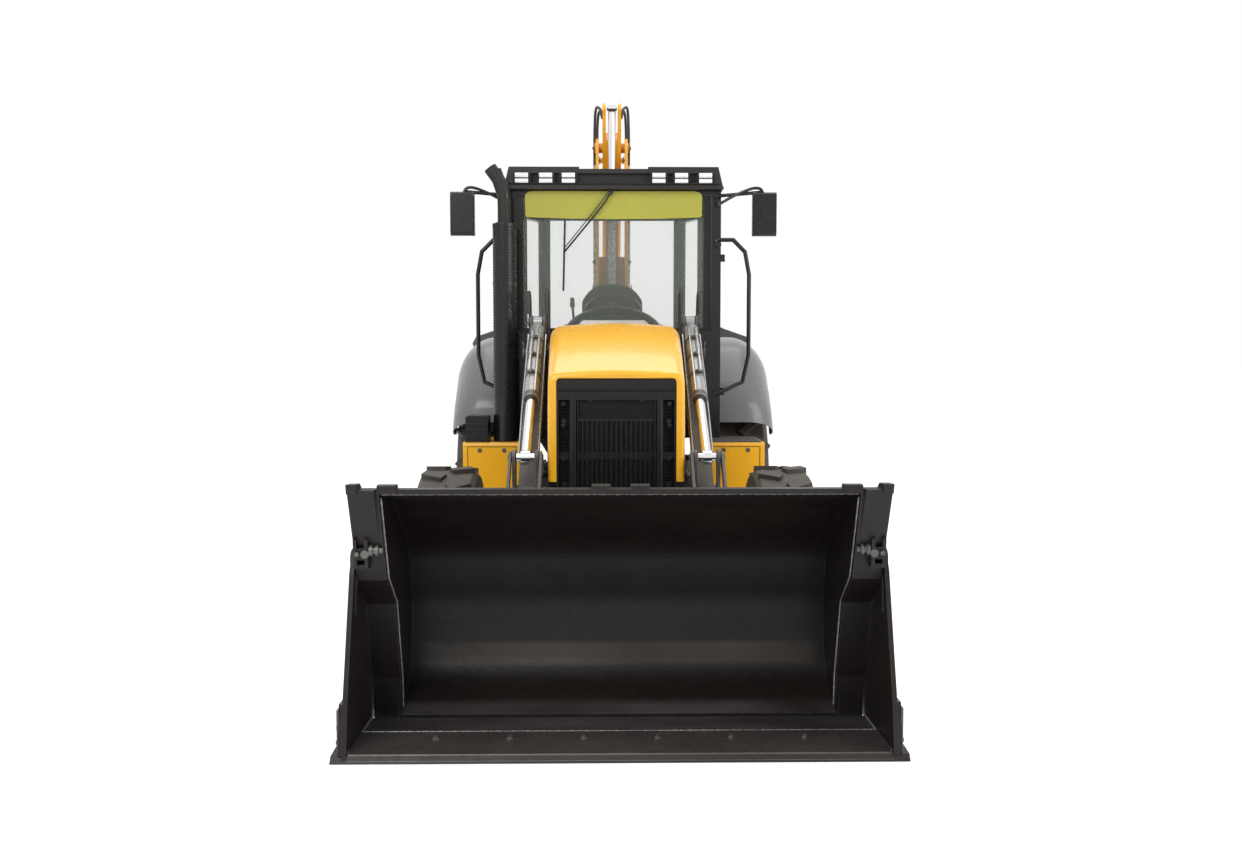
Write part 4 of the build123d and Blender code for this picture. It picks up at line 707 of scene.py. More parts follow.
stations = [(HOOD_FRONT + NOSE * (1 - math.cos(a)), NOSE * (1 - math.sin(a)))
            for a in (math.radians(15 * i) for i in range(7))]
stations += [(HOOD_FRONT + NOSE + (HOOD_REAR - HOOD_FRONT - NOSE) * i / STATIONS, 0)
             for i in range(1, STATIONS + 1)]
rows = [[at(x, behind, z) for x, z in opening_section(HOOD_FRONT)] for behind in (HOOD_FRONT + 22, HOOD_FRONT)]
rows += [[at(x, behind, z) for x, z in hood_section(behind, inset)] for behind, inset in stations]
skin = Piece("hood_skin", "chassis", yellow)
skin.loft(rows, closed=False)
hood_skin = skin.make(40)
as_sheet(hood_skin, 0.004)
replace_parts(hood_skin, "hood")
print("hood skin:", len(rows[0]), "points by", len(rows), "rows")

# %% Hood slots, seams, cowl and latches
slots = Piece("hood_side_slots", "chassis", void_black)
seams = Piece("hood_seams", "chassis", void_black)
# Painted shade: dark boxes on the hood's sides stand for the shade inside its side slots.
for i in range(8):
    b = -60 + i * 46
    slots.both((hood_half(b) + 2, hood_half(b) + 6), (b, b + 22), (1180, 1330))
panel = [(HOOD_FRONT + 60, 985), (HOOD_FRONT + 60, 1420), (HOOD_FRONT + 110, 1462), (290, 1500), (560, 1400),
         (500, 985)]
for side in (-1, 1):
    seams.tube([at(side * (hood_half(b) + 4), b, z) for b, z in panel + panel[:1]], 2.4, 6)
slots.make()
seams.make()

cowl = Piece("hood_cowl", "chassis", plastic)
cowl.slab([(1060, 1795), (1060, 1815), (1078, 1838), (1124, 1846), (1124, 1795)], (-330, 330))
cowl.slab([(1030, 1808), (1030, 1822), (1092, 1830), (1092, 1808)], (-300, 300))
cowl.make()
plate = Piece("hood_rear_plate", "chassis", steel)
plate.prism([at(-235, 1050, 1846), at(235, 1050, 1846), at(205, 1054, 1872), at(-205, 1054, 1872)],
            Vector((0, 0.006, 0)))
plate.make()

latches = Piece("hood_latches", "chassis", plastic)
for side in (-1, 1):
    for behind in (-380, 60, 470):
        face = hood_half(behind) + 1
        latches.box(span(side, face, face + 6), (behind, behind + 62), (1010, 1038))
        latches.bar(at(side * face, behind + 31, 1024), at(side * (face + 8), behind + 31, 1024), 9, 16)
latches.make()
print("hood trimmed")

# %% [markdown]
# ## Fenders
# Each rear fender is a moulded barrel: it follows the wheel round and rolls over at its outer edge.
# A box with one big bevel would look stiff, so this is a loft too: one section, drawn square to the
# fender's line at every step, with a roll that is deep on top and shallow where the tyre is close.

# %% Loft of the fenders
WHEEL_B, WHEEL_Z, WHEEL_ROOM = 2175, 710, 742
FENDER_IN, FENDER_OUT = 718, 1138
line = eased([Vector((b, z, 0)) for b, z in ((1399, 1170), (1405, 1330), (1700, 1690), (2000, 1772), (2440, 1772),
                                             (2760, 1500), (2830, 1180))], 7)
for label, side in SIDES:
    rows = []
    for spot in line:
        inward = Vector((WHEEL_B, WHEEL_Z, 0)) - spot
        roll = min(max(inward.length - WHEEL_ROOM, 50), 300)
        inward.normalize()
        reach = 130 + 0.42 * roll
        flat_end = FENDER_OUT - reach
        section = [(FENDER_IN + (flat_end - FENDER_IN) * i / 4, 0) for i in range(4)]
        section += [(flat_end + reach * math.sin(a), roll * (1 - math.cos(a)))
                    for a in (math.radians(7.5 * i) for i in range(13))]
        section += [(FENDER_OUT - 2, roll + 26), (FENDER_OUT - 20, roll + 28)]
        rows.append([at(side * x, spot.x + inward.x * depth, spot.y + inward.y * depth) for x, depth in section])
    shell = Piece(f"fender_{label}_skin", "chassis", fender_grey)
    shell.loft(rows, closed=False)
    made = shell.make(50)
    as_sheet(made, 0.007)
    if side == 1:
        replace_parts(made, "fenders")
print("fender rows:", len(line))

# %% [markdown]
# ## Cab
# The windscreen has a black border, a yellow-green sun strip and a wiper. Six lamps look forward from
# the roof, two look back. Inside are a dash, a wheel, levers and a padded seat.

# %% Corner windows of the cab
# The slanted rear corners are glazed. A boolean cuts both openings out of a copy of the cab's shell.
cutter = Piece("corner_cutter", None, cab_black)
cutter.box((-CAB_HALF - 8, CAB_HALF + 8), (2212, 2528), (1822, 2678))
cutter_shape = cutter.make()
shell_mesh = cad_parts["cab_frame"].data.copy()
cab_shell = bpy.data.objects.new("cab_shell", shell_mesh)
bpy.context.scene.collection.objects.link(cab_shell)
cutting = cab_shell.modifiers.new("cut", "BOOLEAN")
cutting.operation, cutting.solver, cutting.object = "DIFFERENCE", "EXACT", cutter_shape
bpy.context.view_layer.update()
cut_mesh = bpy.data.meshes.new_from_object(cab_shell.evaluated_get(bpy.context.evaluated_depsgraph_get()))
cab_shell.modifiers.clear()
cab_shell.data = cut_mesh
cab_shell.data.materials.clear()
cab_shell.data.materials.append(cab_black["material"])
bpy.data.objects.remove(cutter_shape)
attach(cab_shell, "chassis")
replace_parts(cab_shell, "cab_frame")
corner_panes = Piece("cab_corner_panes", "chassis", pane)
for side in (-1, 1):
    corner_panes.prism([at(side * x, b, 1822.5)
                        for x, b in ((677, 2212.5), (562, 2527.5), (556, 2527.5), (671, 2212.5))],
                       Vector((0, 0, 0.855)))
corner_panes.make()
print("cab shell:", len(cut_mesh.vertices), "points")

# %% Windscreen border, strip and wiper
border = Piece("windscreen_border", "chassis", plastic)
for x, height in (((-658, -606), (1790, 2710)), ((606, 658), (1790, 2710)),
                  ((-606, 606), (1790, 1822)), ((-606, 606), (2692, 2710))):
    border.box(x, (CAB_FRONT + 15, CAB_FRONT + 18), height)
border.make()

band = Piece("windscreen_sun_strip", "chassis", strip)
top_corner = [(592, 2700), (588, 2712), (578, 2722), (562, 2730), (540, 2733)]
low_edge = [(-590, 2572), (-584, 2562), (-570, 2560), (-300, 2551), (0, 2548), (300, 2551), (570, 2560),
            (584, 2562), (590, 2572)]
corners = top_corner + [(-x, z) for x, z in top_corner[::-1]] + low_edge
band.prism([at(x, CAB_FRONT - 3, z) for x, z in corners], Vector((0, 0.002, 0)))
band.make()

wiper = Piece("windscreen_wiper", "chassis", cab_black)
wiper.bar(at(-20, CAB_FRONT - 6, 2724), at(-20, CAB_FRONT - 34, 2724), 17, 16)
wiper.tube([at(-20, CAB_FRONT - 30, 2724), at(-60, CAB_FRONT - 28, 2650), at(-330, CAB_FRONT - 4, 2330)], 6, 8)
wiper.tube([at(-40, CAB_FRONT - 26, 2716), at(-80, CAB_FRONT - 24, 2660), at(-335, CAB_FRONT - 2, 2350)], 3.5, 8)
wiper.bar(at(-322, CAB_FRONT + 6, 2690), at(-338, CAB_FRONT + 6, 2070), 7, 8)
wiper.bar(at(-322, CAB_FRONT + 12, 2690), at(-338, CAB_FRONT + 12, 2070), 3, 8)
wiper.make()
print("windscreen dressed")

# %% Work lamps
LAMP_MID = EAVES + 71
lens_glass = Piece("work_lamp_lenses", "chassis", lamp_white)
bezels = Piece("work_lamp_bezels", "chassis", plastic)
for x in (-610, -450, -300, 300, 450, 610):
    for middle in (LAMP_MID - 19, LAMP_MID + 19):
        lens_glass.slab([(CAB_FRONT - out, middle + rise) for out, rise in
                         ((52, -17), (62, -14), (66, -6), (66, 6), (62, 14), (52, 17))], (x - 43, x + 43))
    bezels.box((x - 50, x + 50), (CAB_FRONT - 62, CAB_FRONT - 50), (LAMP_MID - 2, LAMP_MID + 2))
    for edge in (-52, 48):
        bezels.box((x + edge, x + edge + 4), (CAB_FRONT - 63, CAB_FRONT - 50), (LAMP_MID - 35, LAMP_MID + 35))
    for row in (-26, -12, 12, 26):
        bezels.box((x - 40, x + 40), (CAB_FRONT - 66.6, CAB_FRONT - 65.8),
                   (LAMP_MID - 0.6 + row, LAMP_MID + 0.6 + row))
for x in (-480, 480):
    bezels.box((x - 62, x + 62), (CAB_REAR - 4, CAB_REAR + 40), (EAVES + 10, EAVES + 76))
    lens_glass.box((x - 52, x + 52), (CAB_REAR + 40, CAB_REAR + 43), (EAVES + 20, EAVES + 66))
lens_glass.make()
bezels.make()
print("lamps: 6 front, 2 rear")

# %% Inside the cab
SEAT_SLICES = 16


def seat_pad(name, path, half, top_drop, waist):
    """A pad drawn as slices from side to side; it thins and drops towards its edges."""
    middle = sum(b for b, z in path) / len(path)
    highest, lowest = max(z for b, z in path), min(z for b, z in path)
    rows = []
    for i in range(SEAT_SLICES + 1):
        share = 2 * i / SEAT_SLICES - 1
        drop, thin = top_drop * abs(share) ** 3.2, 1 - waist * share ** 4
        rows.append([at(half * share, middle + (b - middle) * thin, z - drop * (z - lowest) / (highest - lowest))
                     for b, z in path])
    pad = Piece(name, "chassis", fabric)
    pad.loft(rows)
    made = pad.make(60)
    rounding = made.modifiers.new("round", "BEVEL")
    rounding.width, rounding.segments, rounding.limit_method = 0.02, 3, "ANGLE"
    return made


seat_pad("seat_cushion", [(1905, 1470), (1885, 1545), (1930, 1604), (2150, 1590), (2300, 1600), (2375, 1570),
                          (2380, 1470)], 262, 26, 0.08)
seat_pad("seat_backrest", [(2330, 1580), (2318, 1760), (2345, 1920), (2372, 2060), (2412, 2176), (2470, 2200),
                           (2515, 2150), (2480, 1850), (2440, 1560)], 236, 130, 0.25)
seat_base = Piece("seat_base", "chassis", plastic)
seat_base.slab([(1960, 1235), (1990, 1300), (1990, 1400), (1930, 1462), (2350, 1462), (2320, 1400),
                (2320, 1300), (2350, 1235)], (-175, 175))
seat_base.box((-250, 250), (1915, 2370), (1452, 1474))
seat_base.slab([(2380, 1470), (2440, 1470), (2470, 1640), (2430, 1640)], (-120, 120))
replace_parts(seat_base.make(), "seat")
piping = Piece("seat_piping", "chassis", plastic)
for x in (-150, 150):
    piping.tube([at(x, 1892, 1560), at(x, 1935, 1615), at(x, 2300, 1603)], 4, 6)
    piping.tube([at(x, 2322, 1760), at(x, 2370, 2055), at(x, 2416, 2185)], 4, 6)
piping.make()

# The dash top is a mound: half rounds that narrow towards the driver.
DASH_LOW = 1745
slices = []
for i in range(13):
    share = i / 12
    half, top = 350 - 110 * share ** 2, 1872 + 108 * math.sin(math.pi * (0.12 + 0.62 * share))
    slices.append([at(half * math.cos(a), 1185 + 280 * share, DASH_LOW + (top - DASH_LOW) * math.sin(a) ** 0.7)
                   for a in (math.pi * k / 18 for k in range(19))])
mound = Piece("dash_top", "chassis", plastic)
mound.loft(slices)
mound.make(50)

controls = Piece("cab_controls", "chassis", plastic)
for side in (-1, 1):
    controls.box(span(side, 290, 430), (1850, 2330), (1480, 1640))
    for behind in (1900, 1980):
        controls.lever(at(side * 350, behind, 1640), at(side * 345, behind - 14, 1800),
                       at(side * 344, behind - 18, 1850))
controls.lever(at(-260, 1400, 1700), at(-285, 1440, 1985), at(-287, 1444, 2040), 9, 19, 14)
controls.make()

wheel_rim = Piece("steering_wheel_grip", "chassis", plastic)
tilt = Vector((0, 0.17, 0.30)).normalized()
hub = at(0, 1560, 1950) + tilt * 0.013
grip = [(math.cos(a) * 15, 186 + math.sin(a) * 15) for a in (math.tau * i / 10 for i in range(10))]
wheel_rim.ring(hub, tilt, grip, 40)
wheel_rim.ring(hub, tilt, [(-20, 0.5), (-20, 52), (22, 60), (34, 44), (36, 0.5)], 24)
wheel_rim.make(60)
dials = Piece("dash_dials", "chassis", steel)
for x, radius in ((-90, 34), (0, 44), (90, 34)):
    centre = at(x, 1462, 1850)
    dials.bar(centre, centre + Vector((0, 0.012, 0.004)), radius, 24)
dials.make()
print("inside done")

# %% [markdown]
# ## Outside fittings
# A perforated guard round the exhaust, mirror arms and glasses, door handles, rubber seals, the
# battery cover, step treads and lamps at the rear.

# %% Exhaust guard
STACK = (-720, 1010)
GUARD_LOW, HOLE_PITCH, HOLES_ROUND, HOLE_RADIUS = 1352, 18.4, 26, 5.6
# Painted shade: each hole is a thin dark disc on the guard, standing for the shade seen through it.
guard = Piece("exhaust_guard_holes", "chassis", void_black)
for row in range(62):
    for column in range(HOLES_ROUND):
        angle = math.tau * (column + 0.5 * (row % 2)) / HOLES_ROUND
        out = Vector((math.cos(angle), math.sin(angle), 0))
        spot = at(*STACK, GUARD_LOW + row * HOLE_PITCH) + out * 0.0768
        guard.bar(spot, spot + out * 0.0009, HOLE_RADIUS, 8)
guard.make()
guard_bands = Piece("exhaust_guard_bands", "chassis", cab_black)
upright = Vector((0, 0, 1))
for z in (1330, 1700, 2100, 2480):
    guard_bands.ring(at(*STACK, z), upright, [(0, 74), (0, 80), (22, 80), (22, 74)], 36)
guard_bands.ring(at(*STACK, 2500), upright, [(0, 40), (0, 62), (10, 58), (10, 40)], 32)
guard_bands.make()
pipe = Piece("exhaust_pipe", "chassis", exhaust_black)
pipe.tube([at(x, STACK[1], z) for x, z in ((-720, 2500), (-720, 2690), (-742, 2770), (-812, 2866))], 44, 28, 10)
pipe.make()
print("exhaust dressed")

# %% Mirrors and rails
MIRROR_IN, MIRROR_OUT, MIRROR_MID = 922, 1078, 1000
BACK = CAB_FRONT - 99
mirror_arms = Piece("mirror_arms", "chassis", cab_black)
mirror_backs = Piece("mirror_backs", "chassis", plastic)
mirror_faces = Piece("mirror_faces", "chassis", mirror_glass)
rail_feet = Piece("rail_feet", "chassis", steel_dark)
for side in (-1, 1):
    mirror_arms.tube([at(side * x, CAB_FRONT - ahead, z) for x, ahead, z in
                      ((712, 14, 2650), (800, 40, 2700), (930, 66, 2752), (992, 70, 2738), (MIRROR_MID, 70, 2600))],
                     10, 10, 8)
    mirror_arms.bar(at(side * 700, CAB_FRONT - 16, 2668), at(side * 700, CAB_FRONT - 16, 2632), 18, 16)
    low, high = span(side, MIRROR_IN, MIRROR_OUT)
    mirror_backs.prism([at(x, BACK, z) for x, z in
                        ((low + 20, 2448), (high - 20, 2448), (high - 6, 2470), (high - 6, 2682),
                         (high - 20, 2704), (low + 20, 2704), (low + 6, 2682), (low + 6, 2470))],
                       Vector((0, 0.012, 0)))
    mirror_backs.box((side * MIRROR_MID - 26, side * MIRROR_MID + 26), (BACK - 4, BACK + 2), (2540, 2612))
    mirror_faces.box((low + 8, high - 8), (CAB_FRONT - 51, CAB_FRONT - 48), (2440, 2710))
    for height in (2405, 1385):
        for dx in (-12, 12):
            rail_feet.bolt(at(side * 700 + dx, CAB_FRONT - 20, height), Vector((0, -1, 0)), 6, 5)
mirror_arms.make()
mirror_backs.make()
mirror_faces.make()
rail_feet.make()
print("mirrors done")

# %% Doors: handles and seals
for label, side in SIDES:
    handles = Piece(f"door_{label}_handle", f"door_{label}", plastic)
    handles.box(span(side, CAB_HALF, CAB_HALF + 4), (1752, 1812), (1960, 2080))
    handles.tube([at(side * x, 1782, z) for x, z in ((722, 1972), (758, 1985), (758, 2055), (722, 2068))], 8, 10, 4)
    handles.make()
    seal = Piece(f"door_{label}_seal", f"door_{label}", hose_rubber)
    seal.loop([at(side * 698, b, z) for b, z in
               ((1262, 1184), (1262, 2628), (1758, 2628), (1758, 1832), (1388, 1544), (1334, 1184))], 7)
    seal.make()
print("doors dressed")

# %% Roof gutter and window seals
roof = Piece("roof_gutter", "chassis", cab_black)
for side in (-1, 1):
    roof.tube([at(side * x, b, 2752) for x, b in ((722, 1075), (731, 1080), (731, 2150), (584, 2600))], 6, 8, 4)
roof.tube([at(-700, 1068, 2776), at(700, 1068, 2776)], 4, 8)
roof.make()
seals = Piece("window_seals", "chassis", hose_rubber)
for behind, half, low, high in ((CAB_FRONT + 8, 656, 1792, 2708), (CAB_REAR - 8, 496, 1502, 2708)):
    seals.loop([at(x, behind, z) for x, z in ((-half, low), (half, low), (half, high), (-half, high))], 6)
for side in (-1, 1):
    seals.loop([at(side * 716, b, z) for b, z in ((1896, 1824), (2126, 1824), (2126, 2676), (1896, 2676))], 6)
seals.make()
print("seals done")

# %% Side boxes: battery cover, top plate, treads and lids
cover = Piece("battery_cover", "chassis", plastic)
cover.box((-973, -827), (882, 1088), (1072, 1238))
for z in (1100, 1140, 1180):
    cover.box((-975, -825), (879, 884), (z, z + 14))
cover.box((-962, -838), (900, 1070), (1236, 1243))
cover.make()
treads = Piece("step_treads", "chassis", steel_dark)
for side in (-1, 1):
    for height in (616, 876):
        for i in range(10):
            b = 940 + i * 29
            treads.box(span(side, 962, 996), (b, b + 12), (height, height + 6))
treads.box((640, 970), (880, 1290), (1071, 1079))
for i in range(7):
    treads.box((660, 950), (900 + i * 54, 912 + i * 54), (1079, 1082))
treads.make()
LID_FACE, LID_LOW, LID_TOP = (867.6, 869.6), 500, 1043
lid_seams = Piece("side_box_seams", "chassis", void_black)
latch = Piece("side_box_latches", "chassis", steel_dark)
for side in (-1, 1):
    low, high = span(side, 640, 960)
    for z in (LID_TOP - 3, LID_LOW):
        lid_seams.box((low, high), LID_FACE, (z, z + 3))
    for x in (low, high - 3):
        lid_seams.box((x, x + 3), LID_FACE, (LID_LOW, LID_TOP))
    for x in (720, 880):
        for z in (1018, 528):
            latch.bolt(at(side * x, 869, z), Vector((0, -1, 0)), 10, 8)
lid_seams.make()
latch.make()
print("side boxes done")

# %% Rear lamps and indicators
indicators = Piece("indicator_lamps", "chassis", amber)
rear_red = Piece("rear_lamps", "chassis", red)
lamp_cases = Piece("lamp_cases", "chassis", plastic)
for side in (-1, 1):
    low, high = span(side, 960, 1080)
    lamp_cases.box((low, high), (2790, 2836), (1305, 1375))
    rear_red.box((low + 6, low + 58), (2836, 2841), (1312, 1368))
    indicators.box((low + 62, high - 6), (2836, 2841), (1312, 1368))
indicators.make()
rear_red.make()
lamp_cases.make()
print("rear lamps done")

# %% [markdown]
# ## Hydraulics
# Steel pipes run along the cylinders and arms, held by clamps. Rubber hoses cross each joint.

# %% Pipes on the loader
pipes = Piece("tilt_pipes", "tilt_barrels", pipe_metal)
clamps = Piece("tilt_clamps", "tilt_barrels", steel_dark)
base, tip = at(0, *TILT_BASE), at(0, *TILT_EYE)
line = (tip - base).normalized()
lift_off = Vector((0, -line.z, line.y))
lift_off = -lift_off if lift_off.z < 0 else lift_off
for side in (-1, 1):
    for dx, bend, end in ((-22, 0.80, 0.86), (22, 0.62, 0.66)):
        across = Vector((side * (ARM_MID + dx) / 1000, 0, 0))
        run = [base + line * along + lift_off * out
               for along, out in ((0.13, 0.040), (0.15, 0.053), (bend, 0.053), (end, 0.039))]
        pipes.tube([p + across for p in run], 7.5, 10, 5)
    middle = Vector((side * ARM_MID / 1000, 0, 0))
    for share in (0.26, 0.46, 0.66):
        spot = base + middle + line * share
        clamps.ring(spot - line * 0.009, line, [(0, 41), (0, 46), (18, 46), (18, 41)], 28)
        clamps.prism([spot + lift_off * out + Vector((x, 0, 0)) for x, out in
                      ((-0.034, 0.046), (0.034, 0.046), (0.034, 0.058), (-0.034, 0.058))], line * 0.018)
        clamps.bolt(spot + lift_off * 0.058 + line * 0.009, lift_off, 7, 8)
    gland = base + middle + line * 0.862
    clamps.ring(gland, line, [(0, 30), (0, 49), (32, 49), (40, 40), (40, 27)], 32)
pipes.make()
clamps.make()

arm_pipes = Piece("arm_pipes", "loader_arms", pipe_metal)
arm_clamps = Piece("arm_clamps", "loader_arms", steel_dark)
for side in (-1, 1):
    for dx in (-55, 55):
        x = side * (ARM_MID + dx)
        arm_pipes.tube([at(x, b, z) for b, z in ((690, 1772), (655, 1734), (130, 1358), (-20, 1242), (-200, 1090))],
                       5, 10, 5)
        for share in (0.12, 0.45, 0.78):
            down = at(x, 655, 1726).lerp(at(x, 130, 1350), share)
            arm_clamps.bar(down + Vector((-0.007, 0, 0)), down + Vector((0.007, 0, 0)), 9, 8)
arm_pipes.make()
arm_clamps.make()
print("pipes on the loader done")

# %% Pin heads on the loader
loader_pins = Piece("loader_pin_heads", "loader_arms", steel_dark)
for side in (-1, 1):
    loader_pins.bar(at(side * 546, *TILT_BASE), at(side * 553, *TILT_BASE), 27, 24)
    loader_pins.bolt(at(side * 552, *TILT_BASE), Vector((side, 0, 0)), 9, 7)
loader_pins.make()
tower_pins = Piece("tower_pin_heads", "chassis", steel_dark)
for side in (-1, 1):
    for (behind, height), reach, radius in ((ARM_PIVOT, 583, 46), (LIFT_BASE, 578, 36)):
        tower_pins.bar(at(side * reach, behind, height), at(side * (reach + 8), behind, height), radius, 28)
        tower_pins.box(span(side, reach + 2, reach + 8), (behind - 12, behind + 12),
                       (height + radius - 6, height + radius + 34))
        tower_pins.bolt(at(side * (reach + 7), behind, height + radius + 20), Vector((side, 0, 0)), 8, 7)
tower_pins.make()
print("pin heads done")


# %% Hoses on the loader
def hose(name, path, radius, sides=10):
    """A hose: a bent rubber tube through points in metres, fixed in the frame rather than riding on a body."""
    piece = Piece(name, None, hose_rubber)
    piece.tube(path, radius, sides, 8)
    made = piece.make(60)
    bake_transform(made)
    return made


for label, side in SIDES:
    for i, (dx, rise) in enumerate(((-58, 2068), (58, 2050))):
        x = side * (ARM_MID + dx)
        path = [at(x, b, z) for b, z in ((770, 1905), (772, 1990), (800, rise), (880, rise - 12), (930, 1930),
                                         (930, 1780), (905, 1690))]
        hose(f"arm_top_hose_{label}_{i + 1}", path, 11)
print("loader hoses done")

# %% [markdown]
# ## Backhoe
# Two pipes climb each side of the boom and loop over its top as hoses. Each pin gets a head and a bolt,
# and the feet of the stabilisers get their ribbed pads.

# %% Boom pipes and hoses
boom_pipes = Piece("boom_pipes", "boom", pipe_metal)
boom_clamps = Piece("boom_clamps", "boom", steel_dark)
for x in (-146, -134, 134, 146):
    boom_pipes.tube([at(x, b, z) for b, z in ((3330, 1090), (3120, 1420), (2905, 1750), (2870, 2080), (2850, 2700),
                                              (2860, 3180))], 6.5, 10, 6)
for side in (-1, 1):
    for behind, height in ((3190, 1310), (3010, 1590), (2880, 1960), (2858, 2400), (2853, 2900)):
        boom_clamps.box(span(side, 129, 154), (behind - 14, behind + 14), (height - 16, height + 16))
        boom_clamps.bolt(at(side * 154, behind, height), Vector((side, 0, 0)), 7, 6)
boom_pipes.make()
boom_clamps.make()

for label, side in SIDES:
    for i, dx in enumerate((140, 118)):
        x, top = side * dx, 3650 - 34 * i
        path = [at(x, 2868, 3150), at(x, 2890, 3300), at(x, 2900, 3460), at(x - side * 6, 2880, top - 40),
                at(x - side * 18, 2830, top), at(side * 84, 2775, top - 40), at(side * 76, 2760, 3540)]
        hose(f"boom_top_hose_{label}_{i + 1}", path, 11)
    path = [at(side * x, b, z) for x, b, z in ((92, 3300, 920), (100, 3276, 1000), (112, 3262, 1120),
                                               (138, 3282, 1200), (140, 3215, 1290))]
    hose(f"boom_foot_hose_{label}", path, 11)
print("boom hoses done")

# %% Pin heads on the backhoe
PINS = (
    # body, half width it stands on, pin, radius
    ("swing_post", 174, BOOM_FOOT, 46),
    ("swing_post", 172, BOOM_BASE, 38),
    ("boom", 144, DIPPER_BASE, 34),
    ("boom", 144, BOOM_EYE, 46),
    ("dipper", 142, DIPPER_PIVOT, 50),
    ("dipper", 95, HOE_BASE, 32),
    ("dipper", 105, HOE_LEVER, 32),
    ("hoe_bucket", 119, HOE_PIN, 38),
)
for i, (body, reach, (behind, height), radius) in enumerate(PINS):
    head = Piece(f"hoe_pin_head_{i + 1}", body, steel_dark)
    for side in (-1, 1):
        head.bar(at(side * reach, behind, height), at(side * (reach + 8), behind, height), radius, 28)
        head.bolt(at(side * (reach + 8), behind, height), Vector((side, 0, 0)), 10, 8)
    head.make()
print("pin heads:", len(PINS))

# %% Backhoe bucket: tooth caps
tooth_caps = Piece("hoe_tooth_caps", "hoe_bucket", worn_edge)
for x in (-230, -85, 85, 230):
    tooth_caps.slab([(3664, 1216), (3664, 1252), (3622, 1240), (3594, 1230), (3594, 1224)], (x - 25, x + 25))
tooth_caps.make()
print("tooth caps:", 4)

# %% Cylinder glands and fittings on the backhoe
GLANDS = (
    # body, base, tip, distance along, radius
    ("boom_barrel", BOOM_BASE, BOOM_EYE, 724, 58),
    ("dipper_barrel", DIPPER_BASE, DIPPER_HORN, 795, 56),
    ("hoe_barrel", HOE_BASE, HOE_KNUCKLE, 856, 47),
)
for body, base_at, tip_at, distance, radius in GLANDS:
    ring = Piece(f"{body}_gland", body, steel_dark)
    start, stop = at(0, *base_at), at(0, *tip_at)
    way = (stop - start).normalized()
    spot = start + way * distance / 1000
    for near, far in ((0, 14), (22, 34)):
        ring.ring(spot, way, [(near, radius - 8), (near, radius + 2), (far, radius + 2), (far, radius - 8)], 32)
    side_way = way.cross(Vector((1, 0, 0))).normalized()
    for share in (0.20, 0.90):
        root = start + way * distance / 1000 * share
        ring.bar(root + side_way * (radius - 12) / 1000, root + side_way * (radius + 12) / 1000, 14, 12)
        ring.bolt(root + side_way * (radius + 10) / 1000, side_way, 11, 10)
    ring.make()
print("glands done")

# %% Stabiliser pads, pins and the rear console
for label, side in SIDES:
    pad = Piece(f"stabiliser_{label}_pad_ribs", f"stabiliser_{label}", hose_rubber)
    for i in range(6):
        share = i / 5
        x, z = 880 + share * 235, 1866 - share * 84
        pad.bar(at(side * x, 2896, z), at(side * x, 3040, z), 9, 8)
    pad.make()
    leg_pins = Piece(f"stabiliser_{label}_pins", "chassis", steel_dark)
    end = at(side * 420, 3030, 750)
    leg_pins.bar(at(side * 420, 3018, 750), end, 42, 28)
    leg_pins.bolt(end, Vector((0, 1, 0)), 12, 9)
    leg_pins.make()
rear_controls = Piece("rear_console", "chassis", plastic)
rear_controls.slab([(2440, 1460), (2440, 1640), (2470, 1680), (2530, 1680), (2530, 1460)], (-400, 400))
for x in (-330, -220, 220, 330):
    rear_controls.lever(at(x, 2485, 1670), at(x * 0.97, 2470, 1860), at(x * 0.97, 2468, 1905))
rear_controls.make()
print("stabilisers done")

# %% Bolts on the frame's nose, towers and rear plates
REAR_PLATE, REAR_FRAME = (2870, -1), (3018, 1)  # (behind, which way the bolt stands)
bolts = Piece("frame_bolts", "chassis", steel_dark)
for side in (-1, 1):
    for height in (660, 740):
        for x in (290, 120):
            bolts.bolt(at(side * x, -493, height), Vector((0, -1, 0)), 13, 10)
    for behind, height in ((700, 1180), (760, 1500), (900, 1500), (1010, 1180), (1000, 760), (720, 760)):
        bolts.bolt(at(side * 568, behind, height), Vector((side, 0, 0)), 12, 9)
    for x, height, (behind, way) in ((330, 1300, REAR_PLATE), (330, 1130, REAR_PLATE),
                                     (440, 560, REAR_FRAME), (250, 560, REAR_FRAME)):
        bolts.bolt(at(side * x, behind, height), Vector((0, way, 0)), 13, 10)
bolts.make()
print("frame bolts done")

# %% [markdown]
# ## Light, floor and camera
# A white room. The camera sees the sky white; its light on the machine is dimmer in front. Two large
# soft lights stand in front, left and right, and a third hangs above. The camera stands at about a
# person's height, in front of the bucket.

# %% Light and floor
ROOM, FLOOR_GAP, FLOOR_GLOW = 60, 0.002, 0.35
world = bpy.data.worlds.new("studio")
bpy.context.scene.world = world
world.use_nodes = True
sky = world.node_tree
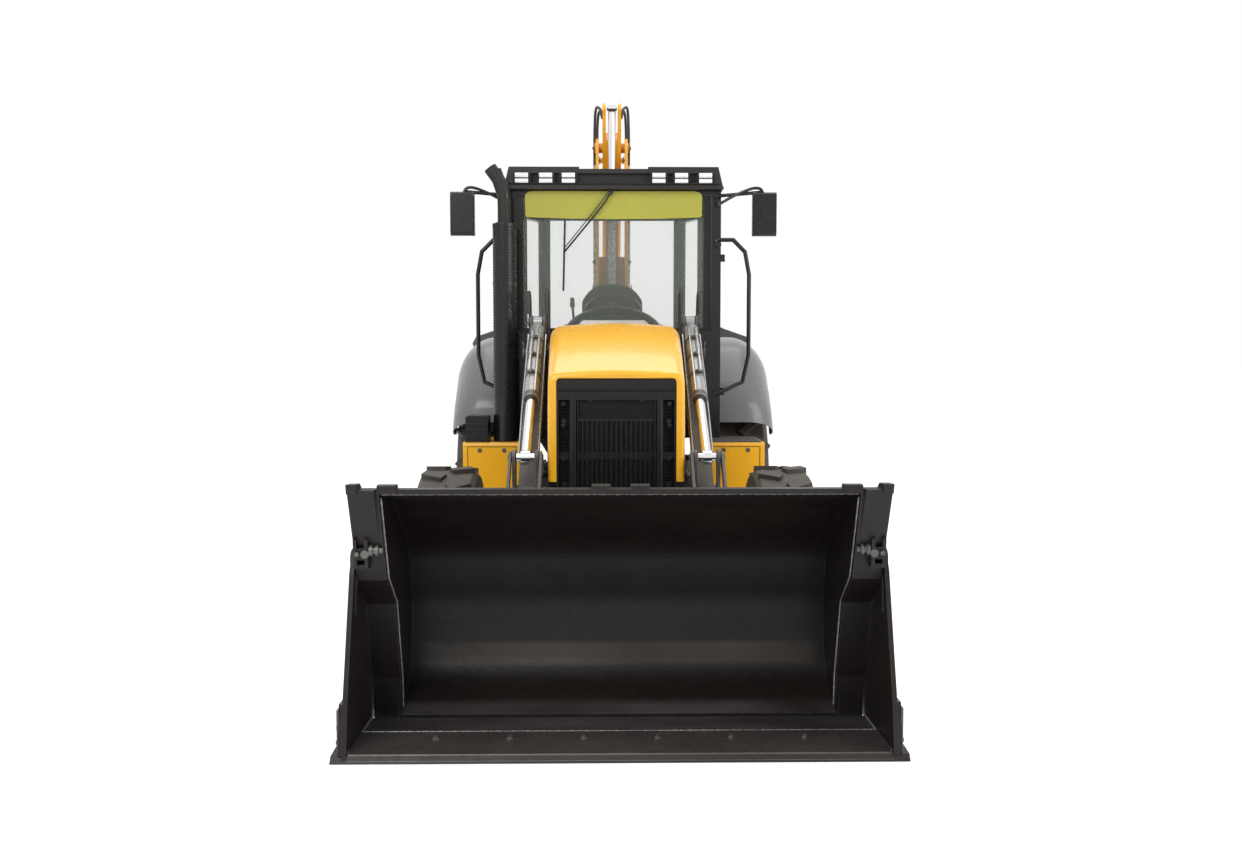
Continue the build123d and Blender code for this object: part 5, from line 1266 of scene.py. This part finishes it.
# Bright behind the machine, dim in front of it, so that dark metal stays dark.
brightness = remap(sky, parts_of(sky, own_place(sky, "Generated"))["Y"], -0.5, 0.6, 0.42, 1.04)
ray = sky.nodes.new("ShaderNodeLightPath").outputs
seen = ray["Is Camera Ray"]
for kind in ("Is Glossy Ray", "Is Transmission Ray"):
    seen = combine(sky, "MAXIMUM", seen, ray[kind])
white = node(sky, "ShaderNodeMix", B=1.0)
sky.links.new(seen, white.inputs["Factor"])
sky.links.new(brightness, white.inputs["A"])
backdrop = sky.nodes["Background"].inputs
sky.links.new(white.outputs["Result"], backdrop["Strength"])
backdrop["Color"].default_value = (1.0, 1.0, 1.0, 1.0)

floor_mesh = bpy.data.meshes.new("studio_floor")
floor_mesh.from_pydata([(-ROOM, -ROOM, 0), (ROOM, -ROOM, 0), (ROOM, ROOM, 0), (-ROOM, ROOM, 0)], [], [(0, 1, 2, 3)])
floor = bpy.data.objects.new("studio_floor", floor_mesh)
bpy.context.scene.collection.objects.link(floor)
floor.location.z = -FLOOR_GAP
floor_paint = surface("studio_floor", "none", (0.95, 0.95, 0.95), 0.8, mottle=0.01)
principled(floor_paint)["Emission Color"].default_value = (1, 1, 1, 1)
principled(floor_paint)["Emission Strength"].default_value = FLOOR_GLOW
floor_mesh.materials.append(floor_paint["material"])

LIGHTS = (
    # name, place, aims at, size, watts
    ("key", (-3.5, -7.5, 6.5), (0, -1.5, 1.0), 5.0, 370),
    ("fill", (6.5, -4.5, 4.0), (0, 0, 1.2), 5.0, 240),
    ("top", (0, 1.5, 7.5), (0, 0, 1.0), 6.0, 200),
)
for name, place, aim, size, watts in LIGHTS:
    lamp = bpy.data.lights.new(name, "AREA")
    lamp.energy, lamp.size = watts, size
    light = bpy.data.objects.new(name, lamp)
    light.location = place
    light.rotation_euler = (Vector(aim) - Vector(place)).to_track_quat("-Z", "Y").to_euler()
    bpy.context.scene.collection.objects.link(light)
print("lights:", len(LIGHTS))

# %% Camera
SENSOR, FOCAL = 36, 33.3  # millimetres
STAND = (-0.07, -7.52, 1.65)
LOOK_DOWN, TURN = 3.9, -0.88  # degrees
camera_data = bpy.data.cameras.new("camera")
camera_data.sensor_width = SENSOR
camera_data.lens = FOCAL
camera = bpy.data.objects.new("camera", camera_data)
camera.location = STAND
camera.rotation_euler = (math.radians(90 - LOOK_DOWN), 0, math.radians(TURN))
bpy.context.scene.collection.objects.link(camera)
bpy.context.scene.camera = camera
bpy.context.scene.view_settings.view_transform = "Standard"
